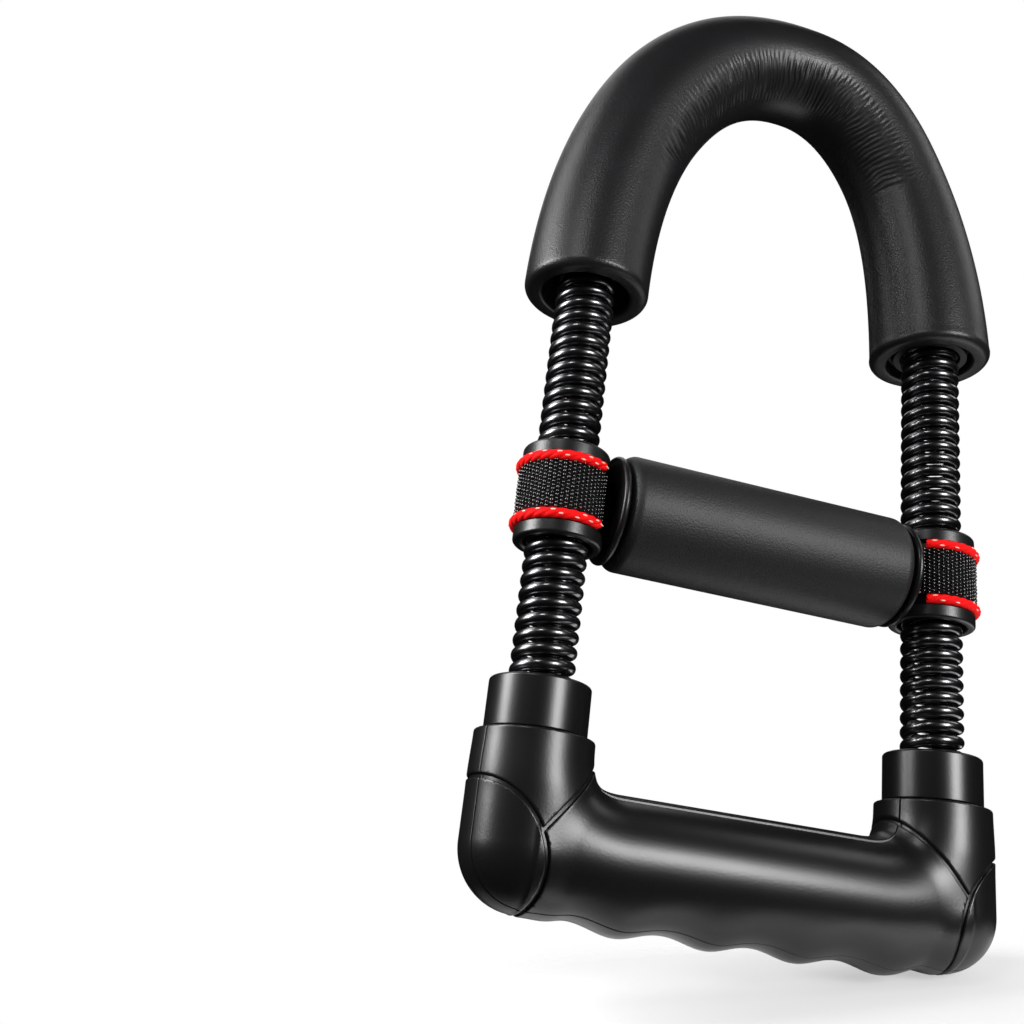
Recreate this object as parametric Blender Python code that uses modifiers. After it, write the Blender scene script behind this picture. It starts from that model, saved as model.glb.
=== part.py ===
"""Forearm trainer: a hand grip and a padded arch joined by two bending coil springs.

Metres, +Z up. X runs across the two springs, -Y is the front, and the grip is at the bottom.
The origin is under the middle of the trainer, level with the lowest finger bump of the grip.
"""
import math

import bmesh
import bpy
from mathutils import Matrix, Vector

# Springs
LEG_SPACING = 0.114
SPRING_DIAMETER = 0.017
WIRE_DIAMETER = 0.0034
SPRING_PITCH = 0.0040
POINTS_PER_CURL = 8
COIL_KNEE = 0.75

# Handle, measured from the grip's axis
GRIP_RADIUS = 0.0150
BUMP_HEIGHT = 0.0026
FINGER_PITCH = 0.0241
FINGER_OFFSET = -0.0074
FLUTE_SPREAD = math.radians(70)
CROWN_STEP = 0.0010
ELBOW_RADIUS = 0.0155
SOCKET_RADIUS = 0.0146
SOCKET_FLARE = 0.0130
SHOULDER_RISE = 0.0261
SADDLE_RADIUS = 0.0088
SHELL_WALL = 0.0026
PARTING_OFFSET = 0.0060
GROOVE_WIDTH = 0.0009
GROOVE_DEPTH = 0.0008
GROOVE_RISE = 0.0030
CAP_GROOVE_LEAN = math.radians(7)
MITRE_ANGLE = math.radians(45)
GROOVE_REACH = 2.2

# Ferrules that clamp the two shells together
FERRULE_RADIUS = 0.0131
FERRULE_WALL = 0.0014
FERRULE_HEIGHT = 0.0130
FERRULE_LIP = 0.0020
FERRULE_GAP = 0.0012

# Plugs and pins that hold the ends of the springs
PLUG_RADIUS = 0.0041
PLUG_FLANGE_THICKNESS = 0.0030
PLUG_DEPTH = 0.0060
PLUG_REACH = 0.0180
FLOOR_THICKNESS = 0.0030
FLANGE_GRIP = 0.0017
PIN_RADIUS = 0.0015

# Shell screws
SCREW_STATIONS = (-0.042, -0.014, 0.014, 0.042)
SCREW_RADIUS = 0.0012
SCREW_HEAD_RADIUS = 0.0027
SCREW_HEAD_THICKNESS = 0.0018
SCREW_HEAD_DEPTH = 0.0040
SCREW_LENGTH = 0.0230
SCREW_SOCKET = 0.0013
POST_WALL = 0.0013

# Arch
SPRING_SPAN = 0.1260
BEND_START = 0.0178
ARCH_HEIGHT = 0.1079
ARCH_FULLNESS = 2.2
APEX_SHIFT = 0.0060
ARCH_FOOT = 0.0025
FOAM_RADIUS = 0.0179
FOAM_BEND_RADIUS = 0.0154
FOAM_THIN_AT = 0.62
FOAM_THIN_SPREAD = 0.38
FOAM_THIN_RAMP = 0.27
FOAM_BORE = 0.0126
FOAM_OVERHANG = 0.0082
FOAM_SHIFT = 0.0046
FOAM_EDGE = 0.0022
TUBE_WALL = 0.0012
BUSH_LENGTH = 0.0045
BUSH_FLANGE = 0.0016
HEAD_THICKNESS = 0.0050

# Forearm pad, its strap and its collars
PAD_RISE = 0.0502
PAD_RADIUS = 0.0161
PAD_EDGE = 0.0030
PAD_BEAD = 0.0020
PAD_BEAD_DROP = 0.0010
PAD_GROOVE = 0.0008
PAD_CORE_WALL = 0.0015
PAD_MOUTH = 0.0016
COLLAR_WALL = 0.0014
COLLAR_HEIGHT = 0.0267
COLLAR_RIM = 0.0038
COLLAR_CHANNEL = 0.0013
COLLAR_EASE = 0.0007
STRAP_THICKNESS = 0.0011
STRAP_LAYER_GAP = 0.0005
STRAP_LEAVES = math.radians(40)
STRAP_TUCK = 0.3
PIPING_RADIUS = 0.0011
PIPING_ENDS = math.radians(50)

# Fits
CLEARANCE = 0.0003
RUNNING_CLEARANCE = 0.0005
BEND_CLEARANCE = 0.0013

# Flex joints
FLEX_OFFSET = 0.0120

ROUND_STEPS = 20
SMALL_STEPS = 12
PIPE_SIDES = 16
BORE_SIDES = 12
GRIP_SIDES = 20
GRIP_STATIONS = 25
ARCH_STATIONS = 18
FOOT_STEPS = 3
KNUCKLE_STEPS = 7
BEND_STEPS = 7
CORNER_STEPS = 4
PIPING_STEPS = 13
LOOP_STEPS = 17
RIM_STEPS = 2
KNEE_STEP = math.radians(15)
MERGE = 0.00001
OVERCUT = 0.0010
FLAT_ANGLE = math.radians(0.05)
RIM_ANGLE = math.radians(60)
SHARP_ANGLE = math.radians(35)
MITRE_LIMIT = 0.5

# Heights that follow from the sizes above
LEG_X = LEG_SPACING / 2
GRIP_Z = GRIP_RADIUS + BUMP_HEIGHT
SHOULDER_Z = GRIP_Z + SHOULDER_RISE
FERRULE_TOP = SHOULDER_Z + FERRULE_GAP + FERRULE_HEIGHT
PLUG_SEAT = SHOULDER_Z - PLUG_DEPTH
TUBE_END = FERRULE_TOP + SPRING_SPAN
STRAIGHT_TOP = TUBE_END - BEND_START
FOAM_END = TUBE_END - FOAM_OVERHANG
SPRING_TOP = TUBE_END + BUSH_LENGTH
PAD_Z = FERRULE_TOP + PAD_RISE
SPRING_RADIUS = SPRING_DIAMETER / 2
COLLAR_FLOOR = SPRING_RADIUS + COLLAR_EASE + COLLAR_WALL
COLLAR_RADIUS = COLLAR_FLOOR + COLLAR_CHANNEL
TUBE_RADIUS = FOAM_BORE - CLEARANCE
TUBE_BORE = TUBE_RADIUS - TUBE_WALL
STRAP_INNER = COLLAR_FLOOR + CLEARANCE
STRAP_HALF_WIDTH = COLLAR_HEIGHT / 2 - COLLAR_RIM - 2 * PIPING_RADIUS - 2 * CLEARANCE
STRAP_LANE = STRAP_LAYER_GAP / 2 + STRAP_THICKNESS / 2
PAD_END = LEG_X - STRAP_INNER - STRAP_THICKNESS - CLEARANCE
PAD_BORE = math.hypot(STRAP_HALF_WIDTH, STRAP_LANE + STRAP_THICKNESS / 2) + RUNNING_CLEARANCE


def empty_scene():
    for thing in list(bpy.data.objects):
        bpy.data.objects.remove(thing, do_unlink=True)


def collection(name):
    made = bpy.data.collections.new(name)
    bpy.context.scene.collection.children.link(made)
    return made


empty_scene()
PARTS = collection("forearm_trainer")
CUTTERS = collection("cutters")


def surface(name, colour, roughness, metallic=0.0):
    """One Principled material for one sub-part."""
    made = bpy.data.materials.new(name)
    made.use_nodes = True
    shader = made.node_tree.nodes["Principled BSDF"]
    shader.inputs["Base Color"].default_value = (*colour, 1.0)
    shader.inputs["Roughness"].default_value = roughness
    shader.inputs["Metallic"].default_value = metallic
    made.diffuse_color = (*colour, 1.0)
    return made


def place(name, mesh, home, finish=None, at=(0, 0, 0), turn=(0, 0, 0)):
    """Puts a mesh in the part's collection, or among the cutters."""
    made = bpy.data.objects.new(name, mesh)
    home.objects.link(made)
    made.location = at
    made.rotation_euler = turn
    if finish:
        mesh.materials.append(surface(name + "_finish", *finish))
    if home is CUTTERS:
        made.hide_render = True
        made.display_type = "WIRE"
    return made


def joined(target, tool, operation):
    """Adds an exact Boolean to a piece."""
    cut = target.modifiers.new(operation.lower() + "_" + tool.name, "BOOLEAN")
    cut.operation = operation
    cut.object = tool
    cut.solver = "EXACT"


def turned(name, profile, home, finish=None, at=(0, 0, 0), turn=(0, 0, 0), steps=ROUND_STEPS):
    """Turns a profile of (radius, height) points, outer side first from top to bottom, about local Z."""
    mesh = bpy.data.meshes.new(name)
    points = [(radius, 0.0, height) for radius, height in profile]
    edges = [(k, k + 1) for k in range(len(points) - 1)]
    if profile[0][0] > 0:
        edges.append((len(points) - 1, 0))
    mesh.from_pydata(points, edges, [])
    made = place(name, mesh, home, finish, at, turn)
    lathe = made.modifiers.new("lathe", "SCREW")
    lathe.axis = "Z"
    lathe.angle = 2 * math.pi
    lathe.steps = steps
    lathe.render_steps = steps
    lathe.use_merge_vertices = True
    lathe.merge_threshold = MERGE
    lathe.use_smooth_shade = False
    return made


def meshed(made):
    """Turns a curve into a welded mesh in the same place."""
    graph = bpy.context.evaluated_depsgraph_get()
    mesh = bpy.data.meshes.new_from_object(made.evaluated_get(graph))
    shape = bmesh.new()
    shape.from_mesh(mesh)
    bmesh.ops.remove_doubles(shape, verts=shape.verts, dist=MERGE)
    bmesh.ops.recalc_face_normals(shape, faces=shape.faces)
    shape.to_mesh(mesh)
    shape.free()
    solid = bpy.data.objects.new(made.name + "_mesh", mesh)
    home = made.users_collection[0]
    home.objects.link(solid)
    solid.matrix_world = made.matrix_world
    solid.hide_render = made.hide_render
    solid.display_type = made.display_type
    name = made.name
    bpy.data.objects.remove(made, do_unlink=True)
    solid.name = name
    return solid


def piped(name, points, radius, home, finish=None, sides=8, capped=True, at=(0, 0, 0), swell=None):
    """A round tube along points. Sides is 4 plus twice the bevel resolution, and swell a factor for each."""
    curve = bpy.data.curves.new(name, "CURVE")
    curve.dimensions = "3D"
    curve.twist_mode = "MINIMUM"
    curve.bevel_depth = radius
    curve.bevel_resolution = (sides - 4) // 2
    curve.use_fill_caps = capped
    line = curve.splines.new("POLY")
    line.points.add(len(points) - 1)
    for spot, point in zip(line.points, points):
        spot.co = (*point, 1.0)
    if swell:
        line.points.foreach_set("radius", swell)
    made = bpy.data.objects.new(name, curve)
    home.objects.link(made)
    made.location = at
    if finish:
        curve.materials.append(surface(name + "_finish", *finish))
    if home is CUTTERS:
        made.hide_render = True
        made.display_type = "WIRE"
    bpy.context.view_layer.update()
    return meshed(made)


def slab(name, low, high, home=CUTTERS):
    """A box between two corners."""
    mesh = bpy.data.meshes.new(name)
    shape = bmesh.new()
    bmesh.ops.create_cube(shape, size=1.0)
    middle = (Vector(low) + Vector(high)) / 2
    size = Vector(high) - Vector(low)
    placed = Matrix.Translation(middle) @ Matrix.Diagonal((*size, 1))
    bmesh.ops.transform(shape, matrix=placed, verts=shape.verts)
    shape.to_mesh(mesh)
    shape.free()
    return place(name, mesh, home)


def rod(name, radius, start, end, home=CUTTERS, finish=None, steps=SMALL_STEPS):
    """A plain round bar between two points."""
    start, end = Vector(start), Vector(end)
    mesh = bpy.data.meshes.new(name)
    shape = bmesh.new()
    bmesh.ops.create_cone(shape, cap_ends=True, segments=steps, radius1=radius, radius2=radius,
                          depth=(end - start).length)
    aim = (end - start).to_track_quat("Z", "Y").to_matrix().to_4x4()
    bmesh.ops.transform(shape, matrix=Matrix.Translation((start + end) / 2) @ aim, verts=shape.verts)
    shape.to_mesh(mesh)
    shape.free()
    return place(name, mesh, home, finish)


def arc(centre, radius, start, end, count):
    """Points (u, v) along an arc, angles in radians."""
    steps = [start + (end - start) * k / (count - 1) for k in range(count)]
    return [(centre[0] + radius * math.cos(a), centre[1] + radius * math.sin(a)) for a in steps]


def arc_round(radius, start, end, count):
    """Points of an arc whose chords stay outside the radius."""
    return arc((0, 0), radius / math.cos((end - start) / (count - 1) / 2), start, end, count)


def eased(value):
    """0 below 0, 1 above 1 and a smooth step between."""
    value = min(max(value, 0.0), 1.0)
    return value * value * (3 - 2 * value)


# Handle

def bump(x):
    """How far the underside stands out between two fingers, at x along the grip."""
    wave = 0.5 - 0.5 * math.cos(2 * math.pi * (x - FINGER_OFFSET - FINGER_PITCH / 2) / FINGER_PITCH)
    return BUMP_HEIGHT * wave * eased((LEG_X - abs(x)) / (FINGER_PITCH / 2))


def grip_ring(x, inset, crown, fluted):
    """One section of the grip, from the top round the back, the underside and the front."""
    ring = []
    for k in range(GRIP_SIDES):
        turn = 2 * math.pi * k / GRIP_SIDES
        from_top = min(turn, 2 * math.pi - turn)
        radius = GRIP_RADIUS - inset + crown * eased(1 - from_top / FLUTE_SPREAD)
        if fluted:
            radius += bump(x) * eased((from_top - math.pi + FLUTE_SPREAD) / FLUTE_SPREAD)
        ring.append(Vector((x, radius * math.sin(turn), GRIP_Z + radius * math.cos(turn))))
    return ring


def grip_body(name, inset, crown, fluted):
    """The bar under the fingers, lofted from leg to leg."""
    mesh = bpy.data.meshes.new(name)
    shape = bmesh.new()
    count = GRIP_STATIONS if fluted else 2
    rings = []
    for k in range(count):
        x = -LEG_X + LEG_SPACING * k / (count - 1)
        rings.append([shape.verts.new(point) for point in grip_ring(x, inset, crown, fluted)])
    for left, right in zip(rings, rings[1:]):
        for k in range(GRIP_SIDES):
            after = (k + 1) % GRIP_SIDES
            shape.faces.new((left[k], left[after], right[after], right[k]))
    shape.faces.new(list(reversed(rings[0])))
    shape.faces.new(rings[-1])
    bmesh.ops.recalc_face_normals(shape, faces=shape.faces)
    bmesh.ops.dissolve_limit(shape, angle_limit=FLAT_ANGLE, verts=shape.verts, edges=shape.edges)
    shape.to_mesh(mesh)
    shape.free()
    return place(name, mesh, CUTTERS)


def elbow_body(name, side, inset, top):
    """Neck, flared socket and rounded knuckle in one turned shape."""
    profile = [(0, top)]
    if top > SHOULDER_Z:
        neck = FERRULE_RADIUS - FERRULE_WALL - CLEARANCE
        profile += [(neck, top), (neck, SHOULDER_Z), (SOCKET_RADIUS - inset, SHOULDER_Z)]
    else:
        profile += [(ELBOW_RADIUS - inset, top)]
    if top > SHOULDER_Z - SOCKET_FLARE:
        profile += [(ELBOW_RADIUS - inset, SHOULDER_Z - SOCKET_FLARE)]
    ball = arc((0, GRIP_Z), ELBOW_RADIUS - inset, 0, -math.pi / 2, KNUCKLE_STEPS)
    profile += ball[:-1] + [(0, GRIP_Z - ELBOW_RADIUS + inset)]
    return turned(name, profile, CUTTERS, at=(side * LEG_X, 0, 0))


def saddle_body(name, side, inset):
    """The quarter bend that fills the inner corner between socket and grip."""
    radius = SOCKET_RADIUS - inset - CLEARANCE / 2
    bend = SADDLE_RADIUS + SOCKET_RADIUS - CLEARANCE / 2
    path = arc((LEG_X - bend, GRIP_Z + bend), bend, 0, -math.pi / 2, BEND_STEPS)
    points = [(side * x, 0, z) for x, z in path]
    return piped(name, points, radius, CUTTERS, sides=ROUND_STEPS)


def handle_body(name, inset, crown=0.0, fluted=True, top=None):
    """Grip, elbows and saddles as one solid, set in by a wall or a groove's depth."""
    if top is None:
        top = FERRULE_TOP - FERRULE_LIP - CLEARANCE
    body = grip_body(name, inset, crown, fluted)
    for side, label in ((-1, "left"), (1, "right")):
        joined(body, elbow_body(name + "_elbow_" + label, side, inset, top), "UNION")
        joined(body, saddle_body(name + "_saddle_" + label, side, inset), "UNION")
    return body


def groove_star(name, side):
    """Three thin plates that meet on the leg's axis, one for each seam line of an elbow."""
    reach = GROOVE_REACH * ELBOW_RADIUS
    outward = (MITRE_ANGLE, math.pi - MITRE_ANGLE, -math.pi / 2 - CAP_GROOVE_LEAN)
    centre = Vector((LEG_X, GRIP_Z + GROOVE_RISE))
    corners = []
    half = GROOVE_WIDTH / 2
    for k, angle in enumerate(outward):
        along = Vector((math.cos(angle), math.sin(angle)))
        across = Vector((-along.y, along.x))
        following = outward[(k + 1) % 3]
        between = ((following - angle) % (2 * math.pi)) / 2
        crotch = Vector((math.cos(angle + between), math.sin(angle + between))) * half / math.sin(between)
        tip = centre + along * reach
        corners += [tip - across * half, tip + across * half, centre + crotch]
    mesh = bpy.data.meshes.new(name)
    shape = bmesh.new()
    depth = 2 * ELBOW_RADIUS
    ends = [[shape.verts.new((side * c.x, y, c.y)) for c in corners] for y in (-depth, depth)]
    for k in range(len(corners)):
        after = (k + 1) % len(corners)
        shape.faces.new((ends[0][k], ends[0][after], ends[1][after], ends[1][k]))
    shape.faces.new(ends[0])
    shape.faces.new(ends[1])
    bmesh.ops.recalc_face_normals(shape, faces=shape.faces)
    shape.to_mesh(mesh)
    shape.free()
    return place(name, mesh, CUTTERS)


def spring_bore(name, side):
    """Room in an elbow for the spring, for the plug's flange and for the hole below it."""
    bore = SPRING_RADIUS + CLEARANCE
    pocket = bore + FLANGE_GRIP
    low = PLUG_SEAT - CLEARANCE
    high = PLUG_SEAT + PLUG_FLANGE_THICKNESS + CLEARANCE
    drain = bore - FLANGE_GRIP
    bottom = low - FLOOR_THICKNESS - OVERCUT
    profile = [(0, FERRULE_TOP), (bore, FERRULE_TOP), (bore, high), (pocket, high), (pocket, low),
               (drain, low), (drain, bottom), (0, bottom)]
    return turned(name, profile, CUTTERS, at=(side * LEG_X, 0, 0), turn=(0, 0, math.pi / ROUND_STEPS))


def screw_seat():
    """Where the screw heads sit, back from the shells' outer face."""
    return GRIP_RADIUS - SCREW_HEAD_DEPTH


def shell_half(name, front, cavity, bores, grooves, finish):
    """One clamshell half of the handle with its screw posts."""
    shell = handle_body(name + "_outside", 0.0, crown=0.0 if front else CROWN_STEP)
    far = 3 * ELBOW_RADIUS
    wide = LEG_X + far
    parting = -PARTING_OFFSET + (-CLEARANCE / 2 if front else CLEARANCE / 2)
    for star in grooves:
        joined(shell, star, "DIFFERENCE")
    low, high = (parting, far) if front else (-far, parting)
    other = slab(name + "_other_half", (-wide, low, -far), (wide, high, FERRULE_TOP + far))
    joined(shell, other, "DIFFERENCE")
    joined(shell, cavity, "DIFFERENCE")
    post = SCREW_HEAD_RADIUS + CLEARANCE + POST_WALL
    end = (SHELL_WALL / 2 - GRIP_RADIUS) * (1 if front else -1)
    for k, x in enumerate(SCREW_STATIONS):
        joined(shell, rod(f"{name}_post_{k}", post, (x, parting, GRIP_Z), (x, end, GRIP_Z)), "UNION")
    for k, x in enumerate(SCREW_STATIONS):
        shank = SCREW_RADIUS + CLEARANCE
        deep = screw_seat() - SCREW_LENGTH - CLEARANCE
        joined(shell, rod(f"{name}_shank_{k}", shank, (x, deep, GRIP_Z), (x, screw_seat() + OVERCUT, GRIP_Z)),
               "DIFFERENCE")
        head = SCREW_HEAD_RADIUS + CLEARANCE
        joined(shell, rod(f"{name}_head_{k}", head, (x, screw_seat(), GRIP_Z), (x, 2 * GRIP_RADIUS, GRIP_Z)),
               "DIFFERENCE")
    for bore in bores:
        joined(shell, bore, "DIFFERENCE")
    return settled(shell, name, finish)


def settled(made, name, finish):
    """Makes a built-up solid a plain named sub-part."""
    bpy.context.view_layer.update()
    graph = bpy.context.evaluated_depsgraph_get()
    mesh = bpy.data.meshes.new_from_object(made.evaluated_get(graph))
    shape = bmesh.new()
    shape.from_mesh(mesh)
    bmesh.ops.remove_doubles(shape, verts=shape.verts, dist=MERGE)
    bmesh.ops.dissolve_degenerate(shape, dist=MERGE, edges=shape.edges)
    shape.to_mesh(mesh)
    shape.free()
    mesh.materials.clear()
    return place(name, mesh, PARTS, finish)


def shells():
    """Both halves of the handle, cut from the same bores and grooves."""
    top = PLUG_SEAT - CLEARANCE - FLOOR_THICKNESS
    cavity = handle_body("handle_cavity", SHELL_WALL, fluted=False, top=top)
    core = handle_body("groove_floor", GROOVE_DEPTH)
    bores, grooves = [], []
    for side, label in ((-1, "left"), (1, "right")):
        bores.append(spring_bore(label + "_bore", side))
        star = groove_star(label + "_grooves", side)
        joined(star, core, "DIFFERENCE")
        grooves.append(star)
    black = ((0.012, 0.012, 0.013), 0.32)
    return [shell_half("front_shell", True, cavity, bores, grooves, black),
            shell_half("back_shell", False, cavity, bores, grooves, black)]


def ferrule(label, side):
    """The ring that slips over both shells' necks, with a lip round the spring."""
    inner = FERRULE_RADIUS - FERRULE_WALL
    low = FERRULE_TOP - FERRULE_HEIGHT
    mouth = SPRING_RADIUS + RUNNING_CLEARANCE
    edge = FERRULE_WALL / 2
    lip = FERRULE_TOP - FERRULE_LIP
    profile = [(FERRULE_RADIUS - edge, FERRULE_TOP), (FERRULE_RADIUS, FERRULE_TOP - edge),
               (FERRULE_RADIUS, low), (inner, low), (inner, lip), (mouth, lip), (mouth, FERRULE_TOP)]
    return turned(label + "_ferrule", profile, PARTS, ((0.012, 0.012, 0.013), 0.30), at=(side * LEG_X, 0, 0))


def lower_plug(label, side):
    """Steel plug in the spring's lower end, held by its flange between the shells."""
    flange = SPRING_RADIUS + FLANGE_GRIP
    seat = PLUG_SEAT + PLUG_FLANGE_THICKNESS
    profile = [(0, seat + PLUG_REACH), (PLUG_RADIUS, seat + PLUG_REACH), (PLUG_RADIUS, seat), (flange, seat),
               (flange, PLUG_SEAT), (0, PLUG_SEAT)]
    return turned(label + "_lower_plug", profile, PARTS, ((0.55, 0.55, 0.56), 0.35, 1.0),
                  at=(side * LEG_X, 0, 0), steps=SMALL_STEPS)


def shell_screw(k, x):
    """Button head screw, driven from the back."""
    seat = CLEARANCE
    top = seat + SCREW_HEAD_THICKNESS
    tip = -SCREW_LENGTH + CLEARANCE
    edge = SCREW_HEAD_THICKNESS / 3
    head = SCREW_HEAD_RADIUS
    profile = [(0, top), (head - edge, top), (head, top - edge), (head, seat), (SCREW_RADIUS, seat),
               (SCREW_RADIUS, tip + SCREW_RADIUS), (0, tip)]
    made = turned(f"shell_screw_{k}", profile, PARTS, ((0.05, 0.05, 0.055), 0.4, 1.0),
                  at=(x, screw_seat(), GRIP_Z), turn=(-math.pi / 2, 0, 0), steps=SMALL_STEPS)
    start = screw_seat() + seat + SCREW_HEAD_THICKNESS / 2
    end = start + SCREW_HEAD_THICKNESS
    socket = rod(f"screw_socket_{k}", SCREW_SOCKET, (x, start, GRIP_Z), (x, end, GRIP_Z), steps=6)
    joined(made, socket, "DIFFERENCE")
    return made


# Springs

def coil_points():
    """Centre line of a spring on its unrolled cylinder, wrapped at the end.

    Each end runs straight for one wire diameter, square to its plug, and bends into the helix.
    """
    mean = SPRING_RADIUS - WIRE_DIAMETER / 2
    low = PLUG_SEAT + PLUG_FLANGE_THICKNESS + CLEARANCE
    high = SPRING_TOP - CLEARANCE
    climb = math.atan2(SPRING_PITCH, 2 * math.pi * mean)
    bend = COIL_KNEE * WIRE_DIAMETER
    turn = math.pi / 2 - climb
    knee = [KNEE_STEP * k for k in range(math.ceil(turn / KNEE_STEP))] + [turn]
    foot = low + WIRE_DIAMETER
    start = [(0.0, low)] + [(bend * (1 - math.cos(b)), foot + bend * math.sin(b)) for b in knee]
    run = start[-1][0]
    rise = start[-1][1] - low
    height = high - low - 2 * rise
    length = height / math.tan(climb)
    count = round(height / SPRING_PITCH * POINTS_PER_CURL)
    middle = [(run + length * k / count, low + rise + height * k / count) for k in range(1, count)]
    finish = [(2 * run + length - s, low + high - z) for s, z in reversed(start)]
    return [(mean * math.cos(s / mean), mean * math.sin(s / mean), z) for s, z in start + middle + finish]


def least_gap(points):
    """Smallest gap between two turns, measured on points that lie half a turn or more apart."""
    half_turn = math.pi * (SPRING_RADIUS - WIRE_DIAMETER / 2)
    path = [Vector(point) for point in points]
    reach = [0.0]
    for one, two in zip(path, path[1:]):
        reach.append(reach[-1] + (two - one).length)
    least = LEG_SPACING
    for k, one in enumerate(path):
        for other, travelled in zip(path[k:], reach[k:]):
            if travelled - reach[k] >= half_turn:
                least = min(least, (one - other).length - WIRE_DIAMETER)
    return least


def spring(label, side):
    """Open-wound steel spring, one unbroken wire."""
    points = coil_points()
    print(f"{label}_spring least gap to itself {least_gap(points) * 1000:.2f} mm")
    return piped(label + "_spring", points, WIRE_DIAMETER / 2, PARTS, ((0.01, 0.01, 0.01), 0.12, 0.3),
                 sides=6, at=(side * LEG_X, 0, 0))


# Arch

def arch_point(share):
    """Centre line of the arch, share 0 at the left foot and 1 at the right, its top right of the middle."""
    turn = math.pi * share
    across, up = math.cos(turn), math.sin(turn)
    power = 2 / ARCH_FULLNESS
    reach = (LEG_X + math.copysign(APEX_SHIFT, across)) * abs(across) ** power
    return Vector((APEX_SHIFT - math.copysign(reach, across), 0,
                   STRAIGHT_TOP + ARCH_HEIGHT * up ** power))


def leg_at(side, height):
    """Where the arch's centre line passes a height on one side."""
    rise = (height - STRAIGHT_TOP) / ARCH_HEIGHT
    reach = (LEG_X - side * APEX_SHIFT) * (1 - rise ** ARCH_FULLNESS) ** (1 / ARCH_FULLNESS)
    return APEX_SHIFT + side * reach


def arch_path(left_low, right_low):
    """The arch's centre line and its shares, closer stepped near the feet, cut square at two heights."""
    even = [k / (ARCH_STATIONS - 1) for k in range(ARCH_STATIONS)]
    fine = [even[1] * k / FOOT_STEPS for k in range(FOOT_STEPS)]
    shares = fine + even[1:-1] + [1 - share for share in reversed(fine)]
    path = [(share, arch_point(share)) for share in shares]
    kept = [(share, point) for share, point in path
            if point.z > (left_low if share < 0.5 else right_low) + ARCH_FOOT]
    for side, low, last in ((-1, left_low, 0), (1, right_low, 1)):
        x = leg_at(side, low + ARCH_FOOT)
        foot = [(last, Vector((x, 0, low))), (last, Vector((x, 0, low + ARCH_FOOT)))]
        kept = foot + kept if side < 0 else kept + foot[::-1]
    return kept


def foam_swell(share):
    """The foam's radius along the arch as a factor: it is stretched thin over the bend."""
    thin = eased((FOAM_THIN_SPREAD - abs(share - FOAM_THIN_AT)) / FOAM_THIN_RAMP)
    return 1 - thin * (1 - FOAM_BEND_RADIUS / FOAM_RADIUS)


def sleeve(name, path, radius, bore, finish, sides=PIPE_SIDES, swell=None, edge=0):
    """A bent tube along an arch path, its rims rounded by an edge radius, with a plainer tube cut out of it."""
    points = [point for share, point in path]
    made = piped(name, points, radius, PARTS, finish, sides=sides, swell=swell)
    if edge:
        rounded = made.modifiers.new("rims", "BEVEL")
        rounded.width = edge
        rounded.segments = RIM_STEPS
        rounded.limit_method = "ANGLE"
        rounded.angle_limit = RIM_ANGLE
    down = Vector((0, 0, OVERCUT))
    inside = [points[0] - down] + points + [points[-1] - down]
    joined(made, piped(name + "_bore", inside, bore, CUTTERS, sides=BORE_SIDES), "DIFFERENCE")
    return made


def arch_foam():
    """Foam sleeve pushed over the steel arch, sitting a little further down the left leg."""
    path = arch_path(FOAM_END - FOAM_SHIFT, FOAM_END + FOAM_SHIFT)
    swell = [foam_swell(share) for share, point in path]
    return sleeve("arch_foam", path, FOAM_RADIUS, FOAM_BORE, ((0.028, 0.028, 0.030), 0.75), swell=swell,
                  edge=FOAM_EDGE)


def arch_tube(pins):
    """Bent steel tube inside the foam, with a cross hole for each pin."""
    made = sleeve("arch_tube", arch_path(TUBE_END, TUBE_END), TUBE_RADIUS, TUBE_BORE,
                  ((0.4, 0.4, 0.41), 0.35, 1.0), sides=BORE_SIDES)
    for tool in pins:
        joined(made, tool, "DIFFERENCE")
    return made


def pin_cutter(label, side, radius, reach):
    z = SPRING_TOP + HEAD_THICKNESS / 2
    x = leg_at(side, z)
    return rod(label, radius, (x, -reach, z), (x, reach, z))


def upper_plug(label, side):
    """Steel plug in the spring's upper end, pinned through the arch tube."""
    head = SPRING_RADIUS + FLANGE_GRIP / 2
    low = SPRING_TOP - PLUG_REACH
    profile = [(0, SPRING_TOP + HEAD_THICKNESS), (head, SPRING_TOP + HEAD_THICKNESS), (head, SPRING_TOP),
               (PLUG_RADIUS, SPRING_TOP), (PLUG_RADIUS, low), (0, low)]
    made = turned(label + "_upper_plug", profile, PARTS, ((0.55, 0.55, 0.56), 0.35, 1.0),
                  at=(side * LEG_X, 0, 0), steps=SMALL_STEPS)
    hole = pin_cutter(label + "_plug_hole", side, PIN_RADIUS + CLEARANCE, 2 * TUBE_RADIUS)
    joined(made, hole, "DIFFERENCE")
    return made


def arch_pin(label, side):
    """Cross pin through the arch tube and the plug's head."""
    z = SPRING_TOP + HEAD_THICKNESS / 2
    x = leg_at(side, z)
    reach = TUBE_RADIUS - TUBE_WALL / 4
    return rod(label + "_arch_pin", PIN_RADIUS, (x, -reach, z), (x, reach, z), PARTS,
               ((0.5, 0.5, 0.51), 0.3, 1.0))


def arch_bush(label, side):
    """Nylon bush in the tube's mouth, round the spring."""
    inner = SPRING_RADIUS + CLEARANCE
    outer = TUBE_BORE - BEND_CLEARANCE
    top = SPRING_TOP - RUNNING_CLEARANCE
    seat = TUBE_END - CLEARANCE
    flange = TUBE_RADIUS - BEND_CLEARANCE
    profile = [(outer, top), (outer, seat), (flange, seat), (flange, seat - BUSH_FLANGE),
               (inner, seat - BUSH_FLANGE), (inner, top)]
    return turned(label + "_arch_bush", profile, PARTS, ((0.02, 0.02, 0.02), 0.5), at=(side * LEG_X, 0, 0))


# Pad

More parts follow.
